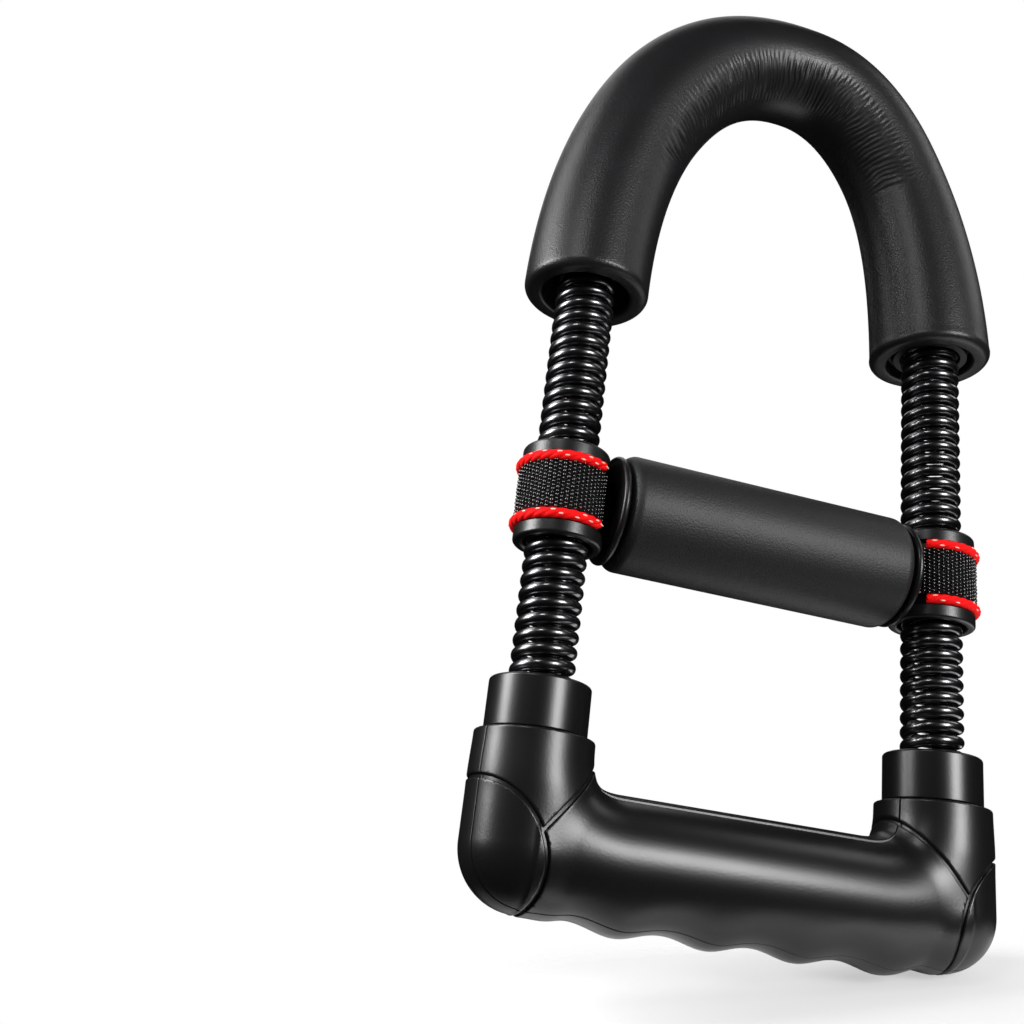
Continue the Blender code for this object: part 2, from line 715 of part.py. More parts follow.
def collar(label, side):
    """Plastic sleeve that slides on the spring, with a channel for the strap."""
    half = COLLAR_HEIGHT / 2
    channel = half - COLLAR_RIM
    bore = SPRING_RADIUS + COLLAR_EASE
    edge = COLLAR_RIM / 4
    upper = [(COLLAR_RADIUS - edge, half), (COLLAR_RADIUS, half - edge), (COLLAR_RADIUS, channel),
             (COLLAR_FLOOR, channel)]
    lower = [(radius, -height) for radius, height in reversed(upper)]
    profile = upper + lower + [(bore + edge, -half), (bore, edge - half), (bore, half - edge), (bore + edge, half)]
    return turned(label + "_collar", profile, PARTS, ((0.015, 0.015, 0.016), 0.35),
                  at=(side * LEG_X, 0, PAD_Z))


def piping(name, side, height):
    """Red cord round a collar, along one edge of the strap, open towards the pad."""
    radius = COLLAR_FLOOR + CLEARANCE + PIPING_RADIUS
    sweep = arc_round(radius, PIPING_ENDS, 2 * math.pi - PIPING_ENDS, PIPING_STEPS)
    points = [(-side * x, y, height) for x, y in sweep]
    return piped(name, points, PIPING_RADIUS, PARTS, ((0.75, 0.012, 0.015), 0.5), sides=6,
                 at=(side * LEG_X, 0, PAD_Z))


def strap_half(side):
    """Strap centre line from the middle of the pad round one collar and back."""
    radius = STRAP_INNER + STRAP_THICKNESS / 2
    leave = STRAP_LEAVES
    run = (radius * math.sin(leave) - STRAP_LANE) / math.cos(leave)
    mouth = LEG_X - radius * math.cos(leave) - run * math.sin(leave)
    tuck = STRAP_TUCK * run
    knee = arc_between((mouth - tuck, STRAP_LANE), (mouth, STRAP_LANE),
                       (mouth + tuck * math.sin(leave), STRAP_LANE + tuck * math.cos(leave)), CORNER_STEPS)
    loop = [(LEG_X + x, y) for x, y in arc_round(radius, math.pi - leave, leave - math.pi, LOOP_STEPS)]
    back = [(x, -y) for x, y in reversed(knee)]
    return [(side * x, y) for x, y in knee + loop + back]


def arc_between(start, corner, end, count):
    """A soft bend from start to end that leans towards a corner."""
    start, corner, end = Vector(start), Vector(corner), Vector(end)
    shares = [k / (count - 1) for k in range(count)]
    return [tuple(start.lerp(corner, t).lerp(corner.lerp(end, t), t)) for t in shares]


def strap():
    """Webbing loop through the pad's bore and round both collars."""
    right = strap_half(1)
    left = [(x, y) for x, y in reversed(strap_half(-1))]
    line = [Vector(point) for point in right + left]
    count = len(line)
    rings = {1: [], -1: []}
    for k, point in enumerate(line):
        before = (point - line[k - 1]).normalized()
        after = (line[(k + 1) % count] - point).normalized()
        along = (before + after).normalized()
        across = Vector((-along.y, along.x)) * STRAP_THICKNESS / 2 / max(along.dot(after), MITRE_LIMIT)
        rings[1].append(point + across)
        rings[-1].append(point - across)
    mesh = bpy.data.meshes.new("strap")
    shape = bmesh.new()
    rows = []
    for face, height in ((1, 1), (1, -1), (-1, -1), (-1, 1)):
        rows.append([shape.verts.new((*p, height * STRAP_HALF_WIDTH)) for p in rings[face]])
    for one, two in zip(rows, rows[1:] + rows[:1]):
        for k in range(count):
            after = (k + 1) % count
            shape.faces.new((one[k], one[after], two[after], two[k]))
    bmesh.ops.recalc_face_normals(shape, faces=shape.faces)
    shape.to_mesh(mesh)
    shape.free()
    return place("strap", mesh, PARTS, ((0.012, 0.012, 0.012), 0.9), at=(0, 0, PAD_Z))


def pad_core():
    """Plastic bobbin inside the pad, with a rounded end ring at each side."""
    tube = PAD_BORE + PAD_CORE_WALL
    bead = PAD_RADIUS - PAD_BEAD_DROP
    ring = [(bead - PAD_BEAD / 2 + u, PAD_END - PAD_BEAD / 2 + v)
            for u, v in arc((0, 0), PAD_BEAD / 2, math.pi / 2, -math.pi / 2, CORNER_STEPS)]
    inside = [(tube, PAD_END - PAD_BEAD), (tube, PAD_BEAD - PAD_END)]
    low_mouth = [(PAD_BORE + PAD_MOUTH, -PAD_END), (PAD_BORE, PAD_MOUTH - PAD_END)]
    mouth = low_mouth + [(r, -x) for r, x in reversed(low_mouth)]
    other = [(r, -x) for r, x in reversed(ring)]
    return turned("pad_core", ring + inside + other + mouth, PARTS, ((0.02, 0.02, 0.021), 0.4),
                  at=(0, 0, PAD_Z), turn=(0, math.pi / 2, 0))


def pad_foam():
    """Foam sleeve of the roller, with rounded ends."""
    inner = PAD_BORE + PAD_CORE_WALL + CLEARANCE
    end = PAD_END - PAD_BEAD - PAD_GROOVE
    corner = arc((PAD_RADIUS - PAD_EDGE, end - PAD_EDGE), PAD_EDGE, math.pi / 2, 0, CORNER_STEPS)
    other = [(r, -x) for r, x in reversed(corner)]
    profile = corner + other + [(inner, -end), (inner, end)]
    return turned("pad_foam", profile, PARTS, ((0.028, 0.028, 0.030), 0.78), at=(0, 0, PAD_Z),
                  turn=(0, math.pi / 2, 0))


def axis_at(name, height):
    """Empty on a joint's axis."""
    made = bpy.data.objects.new(name, None)
    PARTS.objects.link(made)
    made.location = (0, 0, height)
    made.empty_display_size = 0.02
    return made


def carried(by, pieces):
    """Parents pieces to an axis without moving them."""
    bpy.context.view_layer.update()
    for piece in pieces:
        piece.parent = by
        piece.matrix_parent_inverse = by.matrix_world.inverted()


def smoothed():
    """Shades round pieces smooth and keeps their edges sharp."""
    for piece in PARTS.objects:
        if piece.type == "MESH":
            piece.data.shade_smooth()
            piece.data.set_sharp_from_angle(angle=SHARP_ANGLE)


def build():
    handle = shells()
    springs, arch, carriage, pins = [], [], [], []
    for side, label in ((-1, "left"), (1, "right")):
        handle += [ferrule(label, side), lower_plug(label, side)]
        springs.append(spring(label, side))
        arch += [arch_bush(label, side), upper_plug(label, side), arch_pin(label, side)]
        pins.append(pin_cutter(label + "_tube_hole", side, PIN_RADIUS + CLEARANCE, 2 * TUBE_RADIUS))
        carriage.append(collar(label, side))
        edge = STRAP_HALF_WIDTH + CLEARANCE + PIPING_RADIUS
        carriage.append(piping(label + "_upper_piping", side, edge))
        carriage.append(piping(label + "_lower_piping", side, -edge))
    for k, x in enumerate(SCREW_STATIONS, start=1):
        handle.append(shell_screw(k, x))
    arch += [arch_foam(), arch_tube(pins)]
    carriage.append(strap())
    lower = axis_at("lower_flex_axis", FERRULE_TOP + FLEX_OFFSET)
    upper = axis_at("upper_flex_axis", FOAM_END - FOAM_SHIFT - FLEX_OFFSET)
    pad = axis_at("pad_axis", PAD_Z)
    carried(lower, springs + [upper, pad])
    carried(upper, arch)
    carried(pad, carriage + [pad_core(), pad_foam()])
    smoothed()


build()
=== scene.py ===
"""Looks of the forearm trainer: finger-grooved handle, two bending springs, padded arch and rolling pad.

Metres, in the part's own frame: +X across the springs, -Y to the front, +Z from the handle to the arch.
"""
import math

import bmesh
import bpy
import numpy as np
from mathutils import Matrix, Vector, noise


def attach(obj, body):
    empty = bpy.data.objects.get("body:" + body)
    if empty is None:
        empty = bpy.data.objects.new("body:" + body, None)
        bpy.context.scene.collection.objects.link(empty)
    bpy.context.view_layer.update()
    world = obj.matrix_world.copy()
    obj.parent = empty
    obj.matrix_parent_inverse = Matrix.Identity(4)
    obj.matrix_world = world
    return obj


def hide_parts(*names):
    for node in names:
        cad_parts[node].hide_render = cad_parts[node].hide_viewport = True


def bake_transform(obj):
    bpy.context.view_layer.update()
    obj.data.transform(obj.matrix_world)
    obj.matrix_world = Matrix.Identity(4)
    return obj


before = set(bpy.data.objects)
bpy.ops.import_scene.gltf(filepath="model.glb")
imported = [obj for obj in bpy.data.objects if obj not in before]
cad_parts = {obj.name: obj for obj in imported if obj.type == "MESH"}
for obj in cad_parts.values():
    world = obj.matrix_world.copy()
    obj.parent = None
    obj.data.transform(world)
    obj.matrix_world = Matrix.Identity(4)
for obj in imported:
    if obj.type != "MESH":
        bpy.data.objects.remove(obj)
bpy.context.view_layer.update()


# Studio: a camera low in front of the trainer, left of it and rolled a little, over a pale floor that lies
# level in the picture. Soft boxes with bright cores stand left and right of it, a small one above, and dim
# ones below and behind. Black cloth round the set, unseen, keeps dark edges on the glossy black pieces.
CAMERA_AT = Vector((-0.14013, -0.27811, -0.00660))
CAMERA_AZIMUTH = math.radians(-14.106)
CAMERA_CLIMB = math.radians(-20.705)
CAMERA_ROLL = math.radians(7.478)
LENS = 40.875
MIDDLE = Vector((0.0, 0.0, 0.145))
FLOOR_SIZE = 0.4
FLOOR_CENTRE = 0.030
FLOOR_REACH = (0.130, 0.045)
FLOOR_FADE_FROM = 0.4
FLOOR_THIN = 0.5
ROOM_GLOW = 0.3
CLOTH_DISTANCE = 1.4

BACK = Vector((math.sin(CAMERA_AZIMUTH) * math.cos(CAMERA_CLIMB),
               -math.cos(CAMERA_AZIMUTH) * math.cos(CAMERA_CLIMB), math.sin(CAMERA_CLIMB)))
LEVEL = Vector((math.cos(CAMERA_AZIMUTH), math.sin(CAMERA_AZIMUTH), 0.0))
RIGHT = LEVEL * math.cos(CAMERA_ROLL) + BACK.cross(LEVEL) * math.sin(CAMERA_ROLL)
UP = BACK.cross(RIGHT)


def shown(name, data):
    """A new object of that name in the scene, at the origin."""
    made = bpy.data.objects.new(name, data)
    bpy.context.scene.collection.objects.link(made)
    return made


def turned_to(across, up, towards, at):
    """The placing of a thing whose own X, Y and Z point along three directions."""
    turn = Matrix((across, up, towards)).transposed().to_4x4()
    return Matrix.Translation(at) @ turn


def soft_box(name, left, above, distance, width, height, glow):
    """A rectangular lamp that faces the trainer. Glow is its brightness, where white paper has 1."""
    a, e = math.radians(left), math.radians(above)
    towards = (BACK * math.cos(a) - RIGHT * math.sin(a)) * math.cos(e) + UP * math.sin(e)
    lamp = bpy.data.lights.new(name, "AREA")
    lamp.shape = "RECTANGLE"
    lamp.size, lamp.size_y = width, height
    lamp.energy = glow * math.pi * width * height
    across = UP.cross(towards).normalized()
    box = shown(name, lamp)
    box.matrix_world = turned_to(across, towards.cross(across), towards, MIDDLE + towards * distance)


def add(tree, kind, inputs=None, **settings):
    """Adds a node with its settings. Its sockets take values, outputs, or nodes for their first output."""
    made = tree.nodes.new(kind)
    for field, value in settings.items():
        setattr(made, field, value)
    for place, value in (inputs or {}).items():
        if isinstance(value, bpy.types.Node):
            value = value.outputs[0]
        if isinstance(value, bpy.types.NodeSocket):
            tree.links.new(value, made.inputs[place])
        else:
            made.inputs[place].default_value = value
    return made


def linear(code):
    """The linear colour of an sRGB hex value."""
    parts = [int(code[k:k + 2], 16) / 255 for k in (1, 3, 5)]
    return (*[p / 12.92 if p <= 0.04045 else ((p + 0.055) / 1.055) ** 2.4 for p in parts], 1.0)


def material(name):
    """An empty node material and its tree."""
    made = bpy.data.materials.new(name)
    made.use_nodes = True
    made.node_tree.nodes.clear()
    return made, made.node_tree


camera = shown("camera", bpy.data.cameras.new("camera"))
camera.data.lens = LENS
camera.data.clip_start = 0.01
camera.matrix_world = turned_to(RIGHT, UP, BACK, CAMERA_AT)
bpy.context.scene.camera = camera
bpy.context.scene.view_settings.view_transform = "Standard"

soft_box("left_box", 82, 24, 0.60, 0.34, 0.50, 1.4)
soft_box("left_box_core", 82, 24, 0.57, 0.19, 0.32, 17.0)
soft_box("right_box", -43, 21, 0.90, 0.52, 0.62, 1.4)
soft_box("right_box_core", -43, 19, 0.85, 0.30, 0.30, 18.0)
soft_box("top_box", 34, 52, 0.75, 0.17, 0.12, 12.0)
soft_box("under_box", -95, -65, 0.40, 0.45, 0.35, 1.4)
soft_box("rear_left_box", 118, 45, 0.95, 0.30, 0.50, 3.0)
soft_box("rear_right_box", -110, 32, 0.95, 0.30, 0.50, 1.6)
soft_box("back_box", 180, 35, 0.95, 0.60, 0.60, 1.0)

world = bpy.data.worlds.new("white_room")
world.use_nodes = True
bpy.context.scene.world = world
room = world.node_tree
room.nodes.clear()
ray = add(room, "ShaderNodeLightPath").outputs
direct = add(room, "ShaderNodeMath", {0: ray["Is Camera Ray"], 1: ray["Is Glossy Ray"]}, operation="MAXIMUM")
seen = add(room, "ShaderNodeMath", {0: direct, 1: ray["Is Transmission Ray"]}, operation="MAXIMUM")
lit = add(room, "ShaderNodeBackground", {"Color": (1, 1, 1, 1), "Strength": ROOM_GLOW})
white = add(room, "ShaderNodeBackground", {"Color": (1, 1, 1, 1), "Strength": 1.0})
both = add(room, "ShaderNodeMixShader", {0: seen, 1: lit, 2: white})
add(room, "ShaderNodeOutputWorld", {"Surface": both})

floor_paint, tree = material("white_paper_floor")
spot = add(tree, "ShaderNodeTexCoord").outputs["Object"]
spread = add(tree, "ShaderNodeVectorMath", {0: spot, 1: (1 / FLOOR_REACH[0], 1 / FLOOR_REACH[1], 0.0)},
             operation="MULTIPLY")
away = add(tree, "ShaderNodeVectorMath", {0: spread}, operation="LENGTH").outputs["Value"]
fade = add(tree, "ShaderNodeMapRange", {"Value": away, "From Min": FLOOR_FADE_FROM, "From Max": 1.0},
           interpolation_type="SMOOTHSTEP")
facing = add(tree, "ShaderNodeNewGeometry").outputs["Backfacing"]
ray = add(tree, "ShaderNodeLightPath").outputs
thin = add(tree, "ShaderNodeMath", {0: ray["Is Camera Ray"], 1: FLOOR_THIN}, operation="MULTIPLY")
faded = add(tree, "ShaderNodeMath", {0: fade, 1: thin}, operation="MAXIMUM")
hidden = add(tree, "ShaderNodeMath", {0: faded, 1: facing}, operation="MAXIMUM")
paper = add(tree, "ShaderNodeBsdfPrincipled", {"Base Color": linear("#FAFAFA"), "Roughness": 0.28})
clear = add(tree, "ShaderNodeBsdfTransparent")
both = add(tree, "ShaderNodeMixShader", {0: hidden, 1: paper, 2: clear})
add(tree, "ShaderNodeOutputMaterial", {"Surface": both})

level = min(v.co.dot(UP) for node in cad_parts.values() for v in node.data.vertices)
sheet = bpy.data.meshes.new("floor")
half = FLOOR_SIZE / 2
corners = [(-half, -half, 0), (half, -half, 0), (half, half, 0), (-half, half, 0)]
sheet.from_pydata(corners, [], [(0, 1, 2, 3)])
sheet.materials.append(floor_paint)
floor = shown("floor", sheet)
floor.matrix_world = turned_to(RIGHT, UP.cross(RIGHT), UP, UP * level + RIGHT * FLOOR_CENTRE)

velvet, tree = material("black_velvet")
nap = add(tree, "ShaderNodeBsdfDiffuse", {"Color": linear("#1A1A1A")})
add(tree, "ShaderNodeOutputMaterial", {"Surface": nap})
ball = bmesh.new()
bmesh.ops.create_icosphere(ball, subdivisions=3, radius=CLOTH_DISTANCE)
drape = bpy.data.meshes.new("black_cloth")
ball.to_mesh(drape)
ball.free()
drape.materials.append(velvet)
cloth = shown("black_cloth", drape)
cloth.visible_camera = False
cloth.visible_diffuse = False
cloth.visible_shadow = False


# Handle shells: front and back half, moulded in black ABS with a fine spark-eroded grain. A round groove and
# a mitre groove set each knuckle cap off from grip and socket. Four screws from behind draw the halves
# together, and the front half is the shallower.
LEG_X = 0.057
GRIP_Z = 0.0176
GRIP_RADIUS = 0.0150
BUMP_HEIGHT = 0.0026
FINGER_PITCH = 0.0241
FINGER_OFFSET = -0.0074
FLUTE_SPREAD = math.radians(70)
CROWN_STEP = 0.0010
ELBOW_RADIUS = 0.0155
SOCKET_RADIUS = 0.0146
SOCKET_FLARE = 0.0130
SHOULDER_Z = 0.0437
SHOULDER_EDGE = 0.0007
SADDLE_TUBE = 0.01445
SADDLE_BEND = 0.02325
NECK_RADIUS = 0.0114
NECK_TOP = 0.0556
BORE_RADIUS = 0.0088
BORE_FLOOR = 0.0374
PARTING = -0.0060
PARTING_GAP = 0.00012
PARTING_LIP = 0.00028
KNUCKLE_CENTRE = (0.0191, 0.0115)
KNUCKLE_RADIUS = 0.02125
MITRE_Z = 0.0208
MITRE_LEAN = math.radians(130)
GROOVE_WIDTH = 0.0009
GROOVE_DEPTH = 0.0008
GROOVE_LIP = 0.0005
UNION_BLEND = 0.0020
SADDLE_BLEND = 0.0030
SCREW_STATIONS = (-0.042, -0.014, 0.014, 0.042)
SCREW_SEAT = 0.0110
SCREW_WELL = 0.0030
SCREW_HOLE = 0.0015
SCREW_TIP = -0.0123
SKIN_CELL = 0.00055
SKIN_DEPTH = 0.018
FINER_NEAR_GROOVES = (0.0013, 0.0010)
LIP_CUTS = (1.0, 0.45, 0.12, 0.0)
LEAST_SLOPE = 0.2


def eased(value):
    """0 below 0, 1 above 1 and a smooth step between."""
    value = np.clip(value, 0.0, 1.0)
    return value * value * (3 - 2 * value)


def soft_min(one, two, reach):
    """The lower of two fields, rounded where they meet."""
    share = np.clip(0.5 + 0.5 * (two - one) / reach, 0.0, 1.0)
    return two + (one - two) * share - reach * share * (1 - share)


def soft_max(one, two, reach):
    """The higher of two fields, rounded where they meet."""
    return -soft_min(-one, -two, reach)


def handle_field(points, back):
    """How far points lie outside one half of the handle, below zero inside, and how far from its grooves."""
    x, y, z = points.T
    out, rise = np.abs(x), z - GRIP_Z
    turn = np.arctan2(np.abs(y), rise)
    wave = 0.5 - 0.5 * np.cos(2 * np.pi * (x - FINGER_OFFSET - FINGER_PITCH / 2) / FINGER_PITCH)
    bump = BUMP_HEIGHT * wave * eased((LEG_X - out) / (FINGER_PITCH / 2))
    radius = GRIP_RADIUS + bump * eased((turn - np.pi + FLUTE_SPREAD) / FLUTE_SPREAD)
    if back:
        radius = radius + CROWN_STEP * eased(1 - turn / FLUTE_SPREAD)
    grip = np.maximum(np.hypot(y, rise) - radius, out - LEG_X)

    aside = out - LEG_X
    spread = np.hypot(aside, y)
    taper = eased((z - SHOULDER_Z + SOCKET_FLARE) / SOCKET_FLARE)
    upright = spread - ELBOW_RADIUS + (ELBOW_RADIUS - SOCKET_RADIUS) * taper
    elbow = np.where(rise < 0, np.sqrt(spread ** 2 + rise ** 2) - ELBOW_RADIUS, upright)
    elbow = soft_max(elbow, z - SHOULDER_Z, SHOULDER_EDGE)

    along, above = aside + SADDLE_BEND, rise - SADDLE_BEND
    bent = np.hypot(np.hypot(along, above) - SADDLE_BEND, y)
    bent = np.where(along < 0, np.hypot(y, rise), np.where(above > 0, spread, bent))
    saddle = soft_max(bent - SADDLE_TUBE, z - SHOULDER_Z, SHOULDER_EDGE)

    body = soft_min(soft_min(grip, elbow, UNION_BLEND), saddle, SADDLE_BLEND)
    neck = np.maximum(spread - NECK_RADIUS, z - NECK_TOP)
    body = np.minimum(body, np.maximum(neck, GRIP_Z - z))

    near = np.abs(np.hypot(aside - KNUCKLE_CENTRE[0], z - KNUCKLE_CENTRE[1]) - KNUCKLE_RADIUS)
    forth = aside * math.cos(MITRE_LEAN) + (z - MITRE_Z) * math.sin(MITRE_LEAN)
    across = (z - MITRE_Z) * math.cos(MITRE_LEAN) - aside * math.sin(MITRE_LEAN)
    near = np.minimum(near, np.where(forth > 0, np.abs(across), np.hypot(forth, across)))
    body = soft_max(body, np.minimum(GROOVE_WIDTH / 2 - near, body + GROOVE_DEPTH), GROOVE_LIP)
    body = np.maximum(body, -np.maximum(spread - BORE_RADIUS, BORE_FLOOR - z))

    for station in SCREW_STATIONS:
        ring = np.hypot(x - station, rise)
        body = np.maximum(body, -np.maximum(ring - SCREW_HOLE, SCREW_TIP - y))
        if back:
            body = soft_max(body, -np.maximum(ring - SCREW_WELL, SCREW_SEAT - y), GROOVE_LIP)
    return body, near


def slope(field, points):
    """The field's gradient by small central steps."""
    step = 0.00002
    rows = []
    for axis in np.eye(3) * step:
        rows.append((field(points + axis) - field(points - axis)) / (2 * step))
    return np.stack(rows, -1)


def settle(field, points, rounds=4):
    """Moves points onto the surface where the field is zero."""
    for _ in range(rounds):
        value, rise = field(points), slope(field, points)
        step = value / np.maximum((rise ** 2).sum(-1), LEAST_SLOPE)
        points = points - rise * np.clip(step, -SKIN_CELL, SKIN_CELL)[:, None]
    return points


def skinned(field, low, high, cell):
    """Points and squares of a skin round the region where a field is below zero."""
    count = np.ceil((np.array(high) - low) / cell).astype(int) + 1
    axes = [low[k] + cell * np.arange(count[k]) for k in range(3)]
    value = np.empty(count)
    for k, x in enumerate(axes[0]):
        plane = np.stack(np.meshgrid([x], axes[1], axes[2], indexing="ij"), -1).reshape(-1, 3)
        value[k] = field(plane).reshape(count[1:])
    inside = value < 0
    cells = tuple(count - 1)
    total, hits = np.zeros((*cells, 3)), np.zeros(cells)
    for axis in range(3):
        for one in (0, 1):
            for two in (0, 1):
                start = [slice(0, n) for n in cells]
                others = [a for a in range(3) if a != axis]
                start[others[0]] = slice(one, cells[others[0]] + one)
                start[others[1]] = slice(two, cells[others[1]] + two)
                end = list(start)
                end[axis] = slice(1, cells[axis] + 1)
                a, b = value[tuple(start)], value[tuple(end)]
                cut = (a < 0) != (b < 0)
                share = np.where(cut, a / np.where(cut, a - b, 1.0), 0.0)
                total[..., axis] += np.where(cut, share, 0.0)
                total[..., others[0]] += cut * one
                total[..., others[1]] += cut * two
                hits += cut
    mixed = hits > 0
    number = np.full(cells, -1)
    number[mixed] = np.arange(mixed.sum())
    corner = np.argwhere(mixed)
    points = np.array(low) + cell * (corner + total[mixed] / hits[mixed][:, None])
    squares = []
    for axis in range(3):
        one, two = [a for a in range(3) if a != axis]
        ahead = [slice(None)] * 3
        ahead[axis] = slice(1, None)
        behind = [slice(None)] * 3
        behind[axis] = slice(None, -1)
        edge = np.argwhere(inside[tuple(ahead)] != inside[tuple(behind)])
        edge = edge[(edge[:, one] > 0) & (edge[:, two] > 0)]
        edge = edge[(edge[:, one] < cells[one]) & (edge[:, two] < cells[two])]
        ring = []
        for u, v in ((-1, -1), (0, -1), (0, 0), (-1, 0)):
            spot = edge.copy()
            spot[:, one] += u
            spot[:, two] += v
            ring.append(number[tuple(spot.T)])
        squares.append(np.stack(ring, -1))
    return points, np.concatenate(squares)


def refined(shape, field, near, reach):
    """Splits the faces that lie within reach of a groove and settles the new points."""
    shape.verts.ensure_lookup_table()
    spots = np.array([v.co for v in shape.verts])
    close = near(spots) < reach
    edges = [e for e in shape.edges if close[e.verts[0].index] and close[e.verts[1].index]]
    bmesh.ops.subdivide_edges(shape, edges=edges, cuts=1, use_grid_fill=True)
    shape.verts.index_update()
    spots = settle(field, np.array([v.co for v in shape.verts]))
    for vert, spot in zip(shape.verts, spots):
        vert.co = spot


def shell(name, back):
    """One half of the handle as a closed mesh with exact surface normals."""
    def field(points):
        return handle_field(points, back)[0]

    def near(points):
        beside = handle_field(points, back)[1]
        if back:
            for station in SCREW_STATIONS:
                ring = np.hypot(points[:, 0] - station, points[:, 2] - GRIP_Z)
                beside = np.minimum(beside, np.where(points[:, 1] > 0, np.abs(ring - SCREW_WELL), 1.0))
        return beside

    spare = 2 * SKIN_CELL
    reach = LEG_X + ELBOW_RADIUS + spare
    low = (-reach, (PARTING if back else -SKIN_DEPTH) - spare, -spare)
    high = (reach, (SKIN_DEPTH if back else PARTING) + spare, NECK_TOP + spare)
    points, squares = skinned(field, low, high, SKIN_CELL)
    points = settle(field, points)
    mesh = bpy.data.meshes.new(name)
    mesh.from_pydata(points.tolist(), [], squares.tolist())
    shape = bmesh.new()
    shape.from_mesh(mesh)
    bmesh.ops.recalc_face_normals(shape, faces=shape.faces)
    for distance in FINER_NEAR_GROOVES:
        refined(shape, field, near, distance)
    side = 1 if back else -1
    plane = PARTING + side * PARTING_GAP / 2
    for depth in LIP_CUTS:
        everything = shape.verts[:] + shape.edges[:] + shape.faces[:]
        bmesh.ops.bisect_plane(shape, geom=everything, plane_co=(0, plane + side * depth * PARTING_LIP, 0),
                               plane_no=(0, side, 0), clear_inner=depth == 0)
    rim = [e for e in shape.edges if e.is_boundary]
    filled = bmesh.ops.triangle_fill(shape, edges=rim, use_beauty=True, use_dissolve=False,
                                     normal=(0, -side, 0))
    flat = [f for f in filled["geom"] if isinstance(f, bmesh.types.BMFace)]
    bmesh.ops.recalc_face_normals(shape, faces=shape.faces)
    shape.verts.index_update()
    shape.faces.index_update()
    spots = np.array([v.co for v in shape.verts])
    out = slope(field, spots)
    out /= np.linalg.norm(out, axis=1, keepdims=True)
    lean = np.clip(1 - side * (spots[:, 1] - plane) / PARTING_LIP, 0.0, 1.0)
    drop = PARTING_LIP * (1 - np.sqrt(1 - lean ** 2))
    level_out = out * (1, 0, 1)
    level_out /= np.maximum(np.linalg.norm(level_out, axis=1, keepdims=True), 1e-6)
    spots -= level_out * drop[:, None]
    normal = out * np.sqrt(1 - lean ** 2)[:, None] + np.array((0, -side, 0)) * lean[:, None]
    normal /= np.linalg.norm(normal, axis=1, keepdims=True)
    for vert, spot in zip(shape.verts, spots):
        vert.co = spot
    closing = {f.index for f in flat if f.is_valid}
    shape.to_mesh(mesh)
    shape.free()
    mesh.shade_smooth()
    loops = np.empty(len(mesh.loops), int)
    mesh.loops.foreach_get("vertex_index", loops)
    split = normal[loops]
    for face in mesh.polygons:
        if face.index in closing:
            split[face.loop_start:face.loop_start + face.loop_total] = (0, -side, 0)
    mesh.normals_split_custom_set(split.tolist())
    return shown(name, mesh)


# Moulded ABS, satin off the tool: a black body, soft wide highlights and a faint grain. The real grain is
# about 0.1 mm, too fine to show, so it is drawn at 0.6 mm, and the sheen drifts a little over 20 mm.
ABS_GRAIN = 0.0006
ABS_DRIFT = 0.020
SHEEN_DRIFT = 0.03


def moulded_plastic(name, colour, roughness, grain_depth):
    """Satin moulded plastic whose grain follows the object."""
    made, tree = material(name)
    spot = add(tree, "ShaderNodeTexCoord").outputs["Object"]
    drift = add(tree, "ShaderNodeTexNoise", {"Vector": spot, "Scale": 1 / ABS_DRIFT, "Detail": 2.0})
    sheen = add(tree, "ShaderNodeMapRange", {
        "Value": drift, "To Min": roughness - SHEEN_DRIFT, "To Max": roughness + SHEEN_DRIFT})
    grain = add(tree, "ShaderNodeTexNoise", {"Vector": spot, "Scale": 1 / ABS_GRAIN, "Detail": 3.0})
    relief = add(tree, "ShaderNodeBump", {"Height": grain, "Distance": grain_depth})
    shader = add(tree, "ShaderNodeBsdfPrincipled", {
        "Base Color": linear(colour), "Roughness": sheen, "IOR": 1.53, "Normal": relief})
    add(tree, "ShaderNodeOutputMaterial", {"Surface": shader})
    return made


shell_plastic = moulded_plastic("moulded_abs_spark_eroded", "#111112", roughness=0.31, grain_depth=0.00002)
for name, back in (("front_shell", False), ("back_shell", True)):
    half_shell = shell(name + "_skin", back)
    half_shell.data.materials.append(shell_plastic)
    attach(half_shell, "handle")
    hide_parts(name)


# Ferrules: a smooth turned-looking ring of black ABS over both necks of each socket. It is pushed on from
# above and holds the shells together, and its lip closes round the spring.
FERRULE_RADIUS = 0.0131
FERRULE_WALL = 0.0014
FERRULE_LOW = 0.0449
FERRULE_TOP = 0.0579
FERRULE_LIP = 0.0020
FERRULE_MOUTH = 0.0090
FERRULE_EDGE = 0.0008
FINE_EDGE = 0.0003
LATHE_STEPS = 128
SIDES = ((-1, "left"), (1, "right"))


def rounded(corners, steps=6):
    """The closed outline through (radius, height, rounding) corners, each rounded by its own amount."""
    outline = []
    for k, (r, h, rounding) in enumerate(corners):
        here = np.array((r, h))
        if not rounding:
            outline.append(here)
            continue
        before = np.array(corners[k - 1][:2]) - here
        after = np.array(corners[(k + 1) % len(corners)][:2]) - here
        before, after = before / np.linalg.norm(before), after / np.linalg.norm(after)
        half = math.acos(np.clip(before @ after, -1, 1)) / 2
        middle = (before + after) / np.linalg.norm(before + after) * rounding / math.sin(half)
        start = before * rounding / math.tan(half) - middle
        end = after * rounding / math.tan(half) - middle
        sweep = math.pi - 2 * half
        for n in range(steps + 1):
            a = sweep * n / steps
            share = (math.sin(sweep - a) * start + math.sin(a) * end) / math.sin(sweep)
            outline.append(here + middle + share)
    return outline


def applied(piece):
    """Turns what a piece's modifiers show into its own mesh."""
    graph = bpy.context.evaluated_depsgraph_get()
    mesh = bpy.data.meshes.new_from_object(piece.evaluated_get(graph))
    piece.modifiers.clear()
    piece.data = mesh
    return piece


